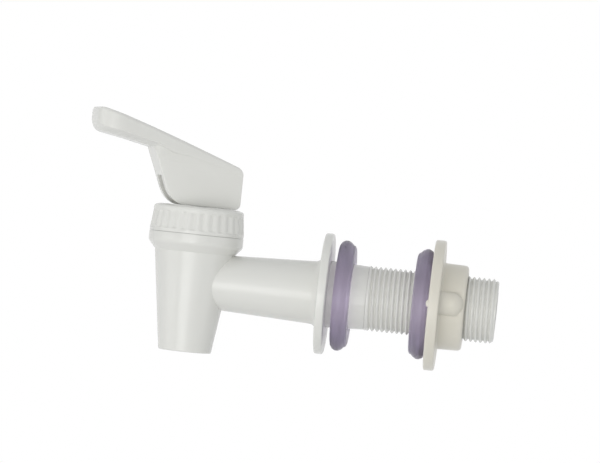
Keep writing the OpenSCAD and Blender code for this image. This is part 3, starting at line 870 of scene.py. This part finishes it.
def make_bonnet():
    """The cap's wall, land, stem hole and roof, then ribs outside and a thread inside."""
    low, high, roof = seam_z, land_z, land_z - ROOF
    side_top = high - CAP_FALL - CAP_EDGE * 0.6
    rise = side_top - CAP_EDGE - low - BEAD_HEIGHT
    wall = [(bonnet_r - CAP_LEAN * i / WALL_STEPS, low + BEAD_HEIGHT + rise * i / WALL_STEPS, 0)
            for i in range(WALL_STEPS)]
    # Radius, height and rounding of each corner: foot, outside, stem hole, clamp and inside.
    corners = [(cap_wall_r, low, 0.15 * MM), (bonnet_r - 0.1 * MM, low, 0.14 * MM)] + wall + [
        (bonnet_r - CAP_LEAN, side_top + CAP_EDGE * 0.4, CAP_EDGE), (land_r, high, 1.0 * MM),
        (stem_hole_r, high, 0.15 * MM), (stem_hole_r, roof, 0.1 * MM),
        (groove_r, roof, 0), (groove_r, roof - CLAMP, 0.1 * MM),
        (rim_r, roof - CLAMP, 0.1 * MM), (rim_r, roof, 0), (cap_wall_r, roof, 0.2 * MM)]
    cap = turned("bonnet_cap_moulding", rounded(corners, 4), Matrix.Identity(4), white_plastic,
                 segments=RIB_COUNT * SIDES_OF_RIB)
    run_tree(cap, RIBS, white_plastic, count=RIB_COUNT, depth=RIB_DEPTH, groove=RIB_GROOVE,
             low=low + BEAD_HEIGHT, high=high - BAND_HEIGHT + RIBS_INTO_BAND, fade=RIB_FADE,
             wall_radius=bonnet_r - RIBS_DEEPEST)
    cap.data.transform(BARREL_FRAME)
    return cut_thread(cap, cap_wall_r, False, low + SEAM_STEP, roof - UNDER_ROOF, CAP_THREAD_FADE,
                      cap_pitch, CAP_THREAD_DEPTH, BARREL_FRAME)


bonnet = make_bonnet()
print("bonnet:", triangles(bonnet), "triangles")

# %% [markdown]
# ## The lever
#
# The lever is a broad paddle standing on a hollow block. The paddle widens and thickens towards
# its tip, so it is built as a row of rounded sections joined into one skin. Over the block it is
# only a lip, and its side shows a band that is deep at the tip and thin at the heel. The block is
# its side outline pushed out to a width, with its edges rounded by a bevel that grows towards the
# top. A soft slope leads from the block out to the band. The rocking cam at its foot is an
# involute: rolling it on the flat bonnet lifts the pin by the same amount for every degree. The
# slot that takes the stem's head is cut out last, and so is the blind hole for the pin.

# %% Sizes of the lever
SOLE_GAP = 0.1 * MM
CAM_RISE = ratios["stem_lift"]
FRONT_LEAN = math.radians(22.4)
BLOCK_W, BLOCK_BACK, PLATE = 10.0 * MM, 11.5 * MM, 2.2 * MM
TIP_REACH = 35.3 * MM
TIP_W, BACK_W = 20.5 * MM, 10.1 * MM
TIP_H, BACK_H = 27.2 * MM, 12.4 * MM
TIP_T, BACK_T = 7.4 * MM, 4.1 * MM
SPREAD_POWER, PADDLE_CROWN = 1.5, 3.0 * MM
TIP_ROUND = (8.5 * MM, 7.0 * MM)
END_ROUND, TIP_UNDER_ROUND = 1.7 * MM, 2.6 * MM
FLARE_UP, FLARE_DOWN = 0.5 * MM, 3.0 * MM
PIN_H = pivot.z - land_z - SOLE_GAP
LEVER_FRAME = (Matrix.Translation((barrel_x, 0, land_z + SOLE_GAP))
               @ Matrix.Rotation(lever_turn, 4, "Z"))


def end_in(distance, radius):
    """How far a rounded end draws in at a distance from it."""
    if distance >= radius:
        return 0.0
    return radius - math.sqrt(radius ** 2 - (radius - distance) ** 2)


def ease(share):
    """A soft step: nought below nought, one above one, level at both ends."""
    share = min(1.0, max(0.0, share))
    return share * share * (3 - 2 * share)


print("the pin stands", round(PIN_H / MM, 2), "mm above the sole")

# %% Section of the paddle
# The side band's depth in mm at the heel, what it gains up to the tip, and how it gains it.
BAND_HEEL, BAND_GAIN, BAND_POWER = 1.2, 5.0, 0.6
# Share of the length at which the paddle leaves the block, and over how much it does so.
FREE_FROM, FREE_OVER = 0.36, 0.16
UNDER_BAND, LIP_T = 0.2 * MM, 2.3 * MM
# Rounding of the section: above, below over the block in mm, and what the free end adds to the
# lower one's depth, width and flatness, from a share of the length and over another.
UPPER_ROUND, LOWER_ROUND = 1.1 * MM, 0.2
ADD_DEPTH, ADD_WIDTH, ADD_FLAT = 1.3, 1.4, 0.75
OPEN_FROM, OPEN_OVER = 0.4, 0.2
ARC_STEPS = 7


def paddle_levels(x):
    """Half width, top, underside and foot of the side band of the paddle at x from the stem."""
    t = (BLOCK_BACK - x) / (BLOCK_BACK + TIP_REACH)
    tip, back = x + TIP_REACH, BLOCK_BACK - x
    half = (BACK_W + (TIP_W - BACK_W) * t ** SPREAD_POWER) / 2
    if tip < TIP_ROUND[0]:
        half -= TIP_ROUND[1] * (1 - math.sqrt(1 - (1 - tip / TIP_ROUND[0]) ** 2))
    crown = PADDLE_CROWN * t * (1 - t) * (0.6 + 0.4 * t)
    top = BACK_H + (TIP_H - BACK_H) * t + crown
    thick = BACK_T + (TIP_T - BACK_T) * t * (0.4 + 0.6 * t)
    band = (BAND_HEEL + BAND_GAIN * max(t, 0) ** BAND_POWER) * MM
    free = ease((t - FREE_FROM) / FREE_OVER)
    thick = max(band - UNDER_BAND, LIP_T) * (1 - free) + thick * free
    high = top - end_in(tip, END_ROUND) - end_in(back, END_ROUND)
    return half, high, top - thick + end_in(tip, TIP_UNDER_ROUND), top - band


def paddle_section(x):
    """Rounded section across the paddle at a distance x from the stem.

    Towards the tip the lower rounding grows wide and nearly flat, as on the real underside.
    """
    half, high, low, _ = paddle_levels(x)
    t = (BLOCK_BACK - x) / (BLOCK_BACK + TIP_REACH)
    upper = min(UPPER_ROUND, (high - low) / 3)
    open_end = ease((t - OPEN_FROM) / OPEN_OVER)
    lower = min((LOWER_ROUND + ADD_DEPTH * open_end) * MM, (high - low) / 2)
    wide = min(lower * (1 + ADD_WIDTH * open_end), 0.5 * half)
    flat = 1 + ADD_FLAT * open_end
    corners = ((1, high, upper, upper, 90), (1, low, wide, lower, 0),
               (-1, low, wide, lower, -90), (-1, high, upper, upper, 180))
    ring = []
    for side, z, across, drop, start in corners:
        up = 1 if z == high else -1
        power = 1 if up > 0 else flat
        for k in range(ARC_STEPS + 1):
            a = math.radians(start - 90 * k / ARC_STEPS)
            out, rise = (math.copysign(abs(f(a)) ** power, f(a)) for f in (math.cos, math.sin))
            ring.append((x, side * (half - across) + across * out, z - up * drop + drop * rise))
    return ring


tip_half = paddle_levels(-TIP_REACH + TIP_ROUND[0])[0]
print("the paddle is", round(2 * tip_half / MM, 1), "mm wide near its tip")

# %% Skin the paddle
# Places of the sections in mm from the tip and from the heel, close together where they round off.
TIP_PLACES = (0, 0.05, 0.15, 0.3, 0.5, 0.75, 1.05, 1.4, 1.8, 2.3, 2.9, 3.6, 4.4, 5.3, 6.3, 7.4, 8.6)
HEEL_PLACES = (1.6, 1.2, 0.8, 0.5, 0.25, 0.08, 0)
SPANS_BETWEEN = 22


def skin_rings(name, rings, material):
    """Joins a row of rings with the same number of points into one closed skin."""
    count = len(rings[0])
    verts = [p for ring in rings for p in ring]
    faces = []
    for i in range(len(rings) - 1):
        for k in range(count):
            a, b = i * count + k, i * count + (k + 1) % count
            faces.append((a, b, b + count, a + count))
    faces.append(tuple(reversed(range(count))))
    faces.append(tuple(range((len(rings) - 1) * count, len(rings) * count)))
    mesh = bpy.data.meshes.new(name)
    mesh.from_pydata(verts, [], faces)
    return finish_mesh(name, mesh, material)


def make_paddle():
    """Sections set close at both ends and evenly between, joined into one skin."""
    first, last = -TIP_REACH + TIP_PLACES[-1] * MM, BLOCK_BACK - HEEL_PLACES[0] * MM
    stations = [-TIP_REACH + d * MM for d in TIP_PLACES]
    stations += [first + (last - first) * i / SPANS_BETWEEN for i in range(1, SPANS_BETWEEN)]
    stations += [BLOCK_BACK - d * MM for d in HEEL_PLACES]
    return skin_rings("lever_moulding", [paddle_section(x) for x in stations], white_plastic)


paddle = make_paddle()
print("paddle:", triangles(paddle), "triangles")

# %% Outline of the cam and the block
CAM_STEPS, HEEL_STEPS = 26, 6
HEEL_ROUND = 1.8 * MM
BLOCK_TOP = 17.5 * MM
# The upper back corner of the block, as steps back from the heel and down from the paddle's top.
BACK_CORNER = ((1.0 * MM, 1.3 * MM), (0.3 * MM, 1.6 * MM), (0.0, 2.2 * MM))
CAM_END = math.pi / 2 - FRONT_LEAN


def cam_point(a):
    """Point of the rocking cam, in the lever's plane with the sole at zero."""
    p = PIN_H + CAM_RISE * a
    return (-p * math.sin(a) - CAM_RISE * math.cos(a),
            PIN_H - p * math.cos(a) + CAM_RISE * math.sin(a))


TOE = cam_point(CAM_END)


def front_at(height):
    """Where the leaning front of the block stands at a height."""
    return TOE[0] - (height - TOE[1]) * math.tan(FRONT_LEAN)


def block_outline():
    """The block from the side: the cam, the leaning front, the upper back corner and the heel."""
    points = [cam_point(CAM_END * i / CAM_STEPS) for i in range(CAM_STEPS + 1)]
    points.append((front_at(BLOCK_TOP), BLOCK_TOP))
    points += [(BLOCK_BACK - back, BACK_H - down) for back, down in BACK_CORNER]
    for k in range(HEEL_STEPS + 1):
        a = -math.pi / 2 * k / HEEL_STEPS
        points.append((BLOCK_BACK - HEEL_ROUND + HEEL_ROUND * math.cos(a),
                       HEEL_ROUND + HEEL_ROUND * math.sin(a)))
    return points


print("the cam's toe stands", round(TOE[1] / MM, 2), "mm above the sole")

# %% Push an outline out to a width
BEVEL_STEPS = 4
BEVEL_FROM = math.radians(50)


def prism(name, outline, low, high, material, edge, wide=None):
    """A side outline in the X-Z plane pushed out along Y, its edges rounded.

    wide is a second radius and a rule that says how much of it an edge at (x, z) gets.
    """
    count = len(outline)
    verts = [(x, low, z) for x, z in outline] + [(x, high, z) for x, z in outline]
    faces = [tuple(range(count)), tuple(reversed(range(count, 2 * count)))]
    for k in range(count):
        n = (k + 1) % count
        faces.append((k, k + count, n + count, n))
    mesh = bpy.data.meshes.new(name)
    mesh.from_pydata(verts, [], faces)
    obj = finish_mesh(name, mesh, material)
    step = obj.modifiers.new("rounding", "BEVEL")
    step.width = wide[0] if wide else edge
    step.segments = BEVEL_STEPS
    step.limit_method = "WEIGHT" if wide else "ANGLE"
    step.angle_limit = BEVEL_FROM
    if wide:
        weights = obj.data.attributes.new("bevel_weight_edge", "FLOAT", "EDGE")
        for one in obj.data.edges:
            a, b = (obj.data.vertices[i].co for i in one.vertices)
            if abs(a.y - b.y) < WELD * 10:
                share = wide[1]((a.x + b.x) / 2, (a.z + b.z) / 2)
                weights.data[one.index].value = (edge + (wide[0] - edge) * share) / wide[0]
    return settle(obj)


print("edges are rounded in", BEVEL_STEPS, "steps")

# %% Slope from the block to the paddle
FLARE_STEPS, FLARE_PLACES = 12, 26
FLARE_REACH = 1.6 * MM
# How much of the slope's fall is even, the rest being eased, and its corners at the front in mm.
FLARE_EVEN, FLARE_CORNER = 0.6, 1.1
# How far it stays inside the block: at the front, at the sides and at the back.
IN_FRONT, IN_SIDE, IN_BACK = 0.05 * MM, 0.03 * MM, 0.6 * MM
SINK_LOW, SINK_HIGH = 0.2 * MM, 0.3 * MM
FRONT_GUESS, GUESSES = -9 * MM, 6


def flare_ring(drop):
    """One layer of the soft slope that leads from the block to the paddle's side band."""
    down = (drop + FLARE_UP) / (FLARE_UP + FLARE_DOWN)
    share = 1 - (FLARE_EVEN * min(1.0, max(0.0, down)) + (1 - FLARE_EVEN) * ease(down))
    front = FRONT_GUESS
    for _ in range(GUESSES):
        front = front_at(paddle_levels(front)[3] - drop)
    front += IN_FRONT
    corner = (FLARE_CORNER + share) * MM
    last = BLOCK_BACK - IN_BACK
    right = []
    for k in range(FLARE_PLACES):
        x = front + (last - front) * (k / (FLARE_PLACES - 1)) ** 2
        half, _, _, foot = paddle_levels(x)
        room = min(half - BLOCK_W / 2, FLARE_REACH)
        wide = BLOCK_W / 2 - IN_SIDE + share * room - end_in(x - front, corner)
        right.append((x, wide, foot - drop))
    return right + [(x, -wide, z) for x, wide, z in reversed(right)]


def make_flare():
    """The whole slope; its first and last layers lie a little inside the block and the paddle."""
    reach = FLARE_UP + FLARE_DOWN
    drops = [FLARE_DOWN + SINK_LOW]
    drops += [FLARE_DOWN - reach * k / FLARE_STEPS for k in range(FLARE_STEPS + 1)]
    drops.append(-FLARE_UP - SINK_HIGH)
    return skin_rings("lever_flare", [flare_ring(drop) for drop in drops], white_plastic)


print("the slope is", (FLARE_UP + FLARE_DOWN) / MM, "mm high")

# %% A rod to drill with


def rod(name, radius, start, end, material, sides):
    """A plain round rod between two points, used as a cutter."""
    start, end = Vector(start), Vector(end)
    turn = (end - start).to_track_quat("Z", "Y").to_matrix().to_4x4()
    put = Matrix.Translation(start) @ turn
    length = (end - start).length
    verts = []
    for z in (0, length):
        for s in range(sides):
            a = 2 * math.pi * s / sides
            verts.append((radius * math.cos(a), radius * math.sin(a), z))
    faces = [tuple(reversed(range(sides))), tuple(range(sides, 2 * sides))]
    for s in range(sides):
        n = (s + 1) % sides
        faces.append((s, n, n + sides, s + sides))
    mesh = bpy.data.meshes.new(name)
    mesh.from_pydata(verts, [], faces)
    mesh.transform(put)
    return finish_mesh(name, mesh, material)


PIN_HOLE_R, PIN_HOLE_SIDES, BLIND_WALL = 1.2 * MM, 48, 0.8 * MM
print("the pin's hole is", 2 * PIN_HOLE_R / MM, "mm wide")

# %% Join the lever and cut its slot
BLOCK_EDGE, BLOCK_WIDE_EDGE, SLOT_EDGE = 0.5 * MM, 1.1 * MM, 0.25 * MM
# The wide edge is only on the front, and grows from one height over another.
WIDE_BEFORE, WIDE_FROM, WIDE_OVER = -4 * MM, 1.5 * MM, 4 * MM
SLOT_H, SLOT_WALL = 8.3 * MM, 1.8 * MM
ROOF_H, ROOF_BACK_H = 12.2 * MM, 7.7 * MM
SHARP_LEVER = 30


def block_rounding(x, z):
    """How much of the wide rounding an edge of the block gets."""
    return ease((z - WIDE_FROM) / WIDE_OVER) if x < WIDE_BEFORE else 0.0


def make_lever():
    """Paddle, block and slope made one, with the slot and the pin's hole cut into them."""
    block = prism("lever_block", block_outline(), -BLOCK_W / 2, BLOCK_W / 2, white_plastic,
                  BLOCK_EDGE, (BLOCK_WIDE_EDGE, block_rounding))
    lever = combine(paddle, block, "UNION")
    combine(lever, make_flare(), "UNION")
    slot_x = front_at(SLOT_H) + SLOT_WALL / math.cos(FRONT_LEAN)
    roof_x = slot_x - (ROOF_H - SLOT_H) * math.tan(FRONT_LEAN)
    back = BLOCK_BACK - PLATE
    hollow = [(-TIP_REACH, -MM), (-TIP_REACH, SLOT_H), (slot_x, SLOT_H), (roof_x, ROOF_H),
              (back, ROOF_BACK_H), (back, -MM)]
    half = BLOCK_W / 2 - PLATE
    combine(lever, prism("slot", hollow, -half, half, white_plastic, SLOT_EDGE), "DIFFERENCE")
    hole = rod("pin_hole", PIN_HOLE_R, (0, -half - PLATE + BLIND_WALL, PIN_H), (0, BLOCK_W, PIN_H),
               white_plastic, PIN_HOLE_SIDES)
    combine(lever, hole, "DIFFERENCE")
    mesh = lever.data
    mesh.transform(LEVER_FRAME)
    mesh.shade_smooth()
    mesh.set_sharp_from_angle(angle=math.radians(SHARP_LEVER))
    return lever


lever = make_lever()
print("lever:", triangles(lever), "triangles")

# %% [markdown]
# ## The soft washers
#
# The two washers come from the same mould, turned to face each other. Each has a wide ring that
# seals and a narrow step behind it. The material is soft and clear with a violet tint: where
# light can pass through thin places it looks pale, and towards the thick rim it looks darker.
# The rings are turned from their section, and a few low waves round the rim then give them the
# slight unevenness of a soft moulding. The outer one has a small dent near its top.

# %% Section of a washer
# Corners round the outside: share of the thickness, mm out from the outer radius, mm of rounding.
WASHER_SECTION = [
    (0.0, -1.5, 0.5), (0.12, -0.5, 0.6), (0.30, 0.0, 0.9), (0.48, -0.02, 0.9),
    (0.66, -0.55, 0.6), (0.80, -1.3, 0.3), (0.88, -1.42, 0.25), (0.95, -2.05, 0.4)]
# Waves round the rim: their number, their height as a share of the radius, and where they start
# as a fixed angle and one that changes sign with the way the washer faces.
WAVES = ((2, 0.0022, 0.0, 0.7), (5, 0.0012, 1.3, 0.0), (11, 0.0008, 0.0, 1.0))
SHRINK = 0.0035
BORE_R = crest_r + 0.38 * MM
BORE_EDGE, BORE_SPARE = 0.35 * MM, 0.05 * MM
STEP_SHARE = 0.95
DENSE = 0.5 * MM


def densely(section):
    """The same section with a point at least every half millimetre."""
    dense = []
    for i, point in enumerate(section):
        following = section[(i + 1) % len(section)]
        parts = max(1, int((following - point).length / DENSE))
        dense += [point.lerp(following, k / parts) for k in range(parts)]
    return dense


print("bore of a washer:", round(2 * BORE_R / MM, 2), "mm")

# %% Make the washers


def make_washer(name, node, way):
    """way is 1 where the wide ring faces the flange and -1 where it faces the nut."""
    low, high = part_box(node)
    thick = high.x - low.x
    outer = (high.y - low.y) / 2
    start = low.x if way > 0 else high.x
    inside = BORE_R + BORE_SPARE
    corners = [(inside, start, BORE_EDGE)]
    for share, drop, edge in WASHER_SECTION:
        corners.append((outer + drop * MM, start + way * share * thick, edge * MM))
    corners.append((inside, start + way * STEP_SHARE * thick, BORE_EDGE))
    washer = turned(name, densely(rounded(corners, 5)), Matrix.Identity(4), violet_rubber,
                    segments=144)
    for vert in washer.data.vertices:
        x, y, z = vert.co
        a = math.atan2(y, x)
        wave = sum(height * math.sin(count * a + fixed + turning * way)
                   for count, height, fixed, turning in WAVES)
        size = 1 + wave * (math.hypot(x, y) - BORE_R) / (outer - BORE_R) - SHRINK
        vert.co = (x * size, y * size, z)
    washer.data.transform(SHANK_FRAME)
    return washer


def ball(name, centre, radii, material):
    """A small ball or egg, for a dent or a burr."""
    bows = 12
    section = [(math.sin(math.pi * k / bows) if 0 < k < bows else 0.0,
                -math.cos(math.pi * k / bows)) for k in range(bows + 1)]
    put = Matrix.Translation(centre) @ Matrix.Diagonal((*radii, 1))
    return closed_turn(name, section, put, material, sides=24)


outer_washer = make_washer("outer_washer_ring", "outer_washer", 1)
DENT_AT, DENT_R = (3.95 * MM, -8.3 * MM, 14.95 * MM), 0.6 * MM
dent = ball("dent", DENT_AT, [DENT_R] * 3, violet_rubber)
combine(outer_washer, dent, "DIFFERENCE")
inner_washer = make_washer("inner_washer_ring", "inner_washer", -1)
print("washers:", triangles(outer_washer), "triangles each")

# %% [markdown]
# ## The lock nut
#
# The nut is turned as a flange with a hub, and two half-round lugs stand on the hub for the
# fingers. A lug is a short rounded bar, so it is turned about its own axis and joined on. The
# bore carries the same thread as the shank, only a little wider, so the two can turn freely. The
# edge of the flange carries a small burr, where the plastic was let into the mould.

# %% Make the nut
HUB_R, NUT_FLANGE_T = 13.0 * MM, 3.2 * MM
NUT_BORE_R, NUT_THREAD_R = crest_r + 0.25 * MM, crest_r + 0.1 * MM
NUT_CHAMFER = 0.9 * MM
LUG_R, LUG_PROUD, LUG_LEAN = 3.65 * MM, 2.8 * MM, 5
LUG_START, LUG_SHORT, LUG_STEPS = 0.6 * MM, 0.4 * MM, 16
BURR_IN, BURR_UP, BURR_SIZE = 0.45 * MM, 0.7 * MM, (0.6 * MM, 0.4 * MM, 1.05 * MM)


def make_nut():
    """Flange and hub, two lugs, the burr, and then the thread in the bore.

    Each corner of the section is a radius, a place along the shank and a rounding.
    """
    x0, x1 = nut_low.x, nut_high.x
    flange_r = (nut_high.y - nut_low.y) / 2
    face = x0 + NUT_FLANGE_T
    corners = [(NUT_BORE_R, x0, 0.2 * MM), (flange_r, x0, 0.55 * MM), (flange_r, face, 0.6 * MM),
               (HUB_R + 0.1 * MM, face, 0.9 * MM), (HUB_R - 0.1 * MM, x1, 1.3 * MM),
               (NUT_BORE_R, x1, 0.3 * MM)]
    nut = turned("lock_nut_moulding", rounded(corners, 6), SHANK_FRAME, cream_plastic, segments=160)
    foot, dome = x0 + LUG_START, x1 - LUG_SHORT - LUG_R
    section = [(0, foot), (LUG_R, foot)]
    for k in range(LUG_STEPS + 1):
        a = math.pi / 2 * k / LUG_STEPS
        section.append((LUG_R * math.cos(a) if k < LUG_STEPS else 0.0, dome + LUG_R * math.sin(a)))
    out = Matrix.Translation((0, LUG_R - LUG_PROUD - HUB_R, 0)) @ SHANK_FRAME
    for side in (0, 180):
        turn = Matrix.Rotation(math.radians(side - LUG_LEAN), 4, "X")
        combine(nut, closed_turn("grip_lug", section, turn @ out, cream_plastic), "UNION")
    burr = ball("burr", (x0 - 0.05 * MM, BURR_IN - flange_r, BURR_UP), BURR_SIZE, cream_plastic)
    combine(nut, burr, "UNION")
    return cut_thread(nut, NUT_THREAD_R, False, x0 + NUT_CHAMFER, x1 - NUT_CHAMFER, NUT_CHAMFER,
                      pitch, THREAD_DEPTH, SHANK_FRAME)


nut = make_nut()
print("nut:", triangles(nut), "triangles")

# %% [markdown]
# ## The spring and the seat cup
#
# Two hidden pieces give way when the lever is pressed. The return spring is a wire that follows a
# coil: a straight line of points is bent into the coil by a rule, its end turns lying closed, and
# a round wire is drawn along it. The seat cup is a thin silicone bell with a thick rim and nose,
# so it is turned from its section.

# %% Node tree: coil of wire
POINTS_ALONG, WIRE_SIDES = 400, 14


def coil_tree():
    """A straight line of points bent into a coil whose first and last turns lie closed."""
    tree, sums, given = new_tree("wire_coil", ["Turns", "Pitch", "Wire", "Coil radius", "Low"])
    value = given.outputs
    line = sums.node("GeometryNodeCurvePrimitiveLine")
    line.inputs["End"].default_value = (0, 0, 1)
    dense = sums.node("GeometryNodeResampleCurve", mode="COUNT")
    tree.links.new(line.outputs[0], dense.inputs["Curve"])
    dense.inputs["Count"].default_value = POINTS_ALONG
    share = sums.node("GeometryNodeSplineParameter").outputs["Factor"]
    turn = sums.math("MULTIPLY", share, value["Turns"])
    angle = sums.math("MULTIPLY", turn, 2 * math.pi)
    open_turns = sums.math("SUBTRACT", value["Turns"], 2.0)
    first = sums.math("MULTIPLY", sums.math("MINIMUM", turn, 1.0), value["Wire"])
    past_first = sums.math("SUBTRACT", turn, 1.0)
    open_part = sums.math("MINIMUM", sums.math("MAXIMUM", past_first, 0.0), open_turns)
    middle = sums.math("MULTIPLY", open_part, value["Pitch"])
    past_open = sums.math("MAXIMUM", sums.math("SUBTRACT", past_first, open_turns), 0.0)
    top = sums.math("MULTIPLY", past_open, value["Wire"])
    height = sums.math("ADD", sums.math("ADD", first, middle), sums.math("ADD", top, value["Low"]))
    place = sums.node("ShaderNodeCombineXYZ")
    for i, wave in enumerate(("COSINE", "SINE")):
        across = sums.math("MULTIPLY", sums.math(wave, angle), value["Coil radius"])
        tree.links.new(across, place.inputs[i])
    tree.links.new(height, place.inputs[2])
    bend = sums.node("GeometryNodeSetPosition")
    tree.links.new(dense.outputs[0], bend.inputs["Geometry"])
    tree.links.new(place.outputs[0], bend.inputs["Position"])
    round_wire = sums.node("GeometryNodeCurvePrimitiveCircle")
    round_wire.inputs["Resolution"].default_value = WIRE_SIDES
    tree.links.new(sums.math("MULTIPLY", value["Wire"], 0.5), round_wire.inputs["Radius"])
    sweep = sums.node("GeometryNodeCurveToMesh")
    tree.links.new(bend.outputs[0], sweep.inputs["Curve"])
    tree.links.new(round_wire.outputs[0], sweep.inputs["Profile Curve"])
    sweep.inputs["Fill Caps"].default_value = True
    close_tree(tree, given, sweep.outputs[0])
    return tree


COIL = coil_tree()
print("coil tree:", len(COIL.nodes), "nodes")

# %% Make the spring
WIRE, COILS = 0.8 * MM, 9


def make_spring():
    """Starts from an empty object, because the tree draws its own line and bends it."""
    low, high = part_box("return_spring")
    radius = (high.x - low.x) / 2 - WIRE / 2 - 0.01 * MM
    rise = high.z - low.z - 3 * WIRE
    spring = bpy.data.objects.new("return_spring_coil", bpy.data.meshes.new("return_spring_coil"))
    scene.collection.objects.link(spring)
    run_tree(spring, COIL, spring_wire, turns=COILS, pitch=rise / (COILS - 2), wire=WIRE,
             coil_radius=radius, low=low.z + WIRE / 2)
    spring.data.transform(BARREL_FRAME @ Matrix.Rotation(lever_turn, 4, "Z"))
    return spring


spring = make_spring()
print("spring:", triangles(spring), "triangles")

# %% Make the seat cup
# Heights in mm above the nose: the pocket that holds the stem's button, and its lip.
POCKET_FLOOR, POCKET_ROOF, LIP_TOP = 3.0, 5.65, 6.5


def make_cup():
    """The bell's section in mm: radius, height and rounding of each corner, up the outside last."""
    low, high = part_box("seat_cup")
    nose, top, rim = low.z / MM, high.z / MM, rim_r / MM
    rows = [(rim, top - 1.45, 0.3), (rim, top, 0.3), (rim - 1.8, top, 0.4),
            (rim - 3.0, top - 2.35, 0.7), (5.0, top - 7.0, 0.9), (4.8, nose + 7.5, 0.4),
            (4.5, nose + LIP_TOP, 0.3), (2.25, nose + LIP_TOP, 0.15),
            (2.25, nose + POCKET_ROOF, 0.1), (3.35, nose + POCKET_ROOF, 0.1),
            (3.35, nose + POCKET_FLOOR, 0.2), (0, nose + POCKET_FLOOR, 0), (0, nose, 0),
            (2.8, nose, 0.3), (6.4, nose + 3.78, 0.4), (6.4, nose + 4.88, 0.3),
            (5.8, nose + 6.08, 0.5), (6.0, top - 7.0, 0.9), (rim - 2.0, top - 2.65, 0.6),
            (rim - 1.8, top - 1.45, 0.2)]
    section = rounded([(r * MM, z * MM, edge * MM) for r, z, edge in rows], 4)
    start = next(i for i, p in enumerate(section) if p.x < 1e-9 and p.y < (nose + 1) * MM)
    section = section[start:] + section[:start]
    return closed_turn("seat_cup_bell", section, BARREL_FRAME, milky_silicone, sides=96)


cup = make_cup()
print("seat cup:", triangles(cup), "triangles")

# %% [markdown]
# ## Putting the pieces on the mechanism
#
# Each dressed piece rides on the body that its mechanical twin belongs to, and hides the twin.
# The spring and the cup each get a mesh of their own. Stem, pin and guide are right as they
# are and only get a material.

# %% Ride and replace
SPRING_HELD, CUP_HELD = 19.5 * MM, 19.4 * MM
placed = [
    (body, "tap_body", "tap_body", "white_plastic"),
    (bonnet, "bonnet", "bonnet_cap", "white_plastic"),
    (lever, "lever", "lever", "white_plastic"),
    (outer_washer, "outer_washer", "outer_washer", "violet_rubber"),
    (inner_washer, "inner_washer", "inner_washer", "violet_rubber"),
    (nut, "lock_nut", "lock_nut", "cream_plastic"),
    (spring, rides["return_spring"], "return_spring", "spring_steel"),
    (cup, rides["seat_cup"], "seat_cup", "silicone")]
for piece, carrier, stands_for, slot in placed:
    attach(piece, carrier)
    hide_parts(stands_for)
for piece, twin, held in ((spring, "return_spring", SPRING_HELD), (cup, "seat_cup", CUP_HELD)):
    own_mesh(piece)
print("pieces placed:", len(placed))

# %% Finish the mechanical pieces
finishes = {
    "bonnet_cap": white_plastic, "lever": white_plastic, "lever_pin": ground_steel,
    "valve_stem": white_acetal, "spring_guide": white_acetal, "return_spring": spring_wire,
    "seat_cup": milky_silicone, "outer_washer": violet_rubber, "inner_washer": violet_rubber,
    "lock_nut": cream_plastic}
for twin, finish in finishes.items():
    nodes[twin].data.materials.clear()
    nodes[twin].data.materials.append(finish)
print("mechanical pieces finished:", len(finishes))
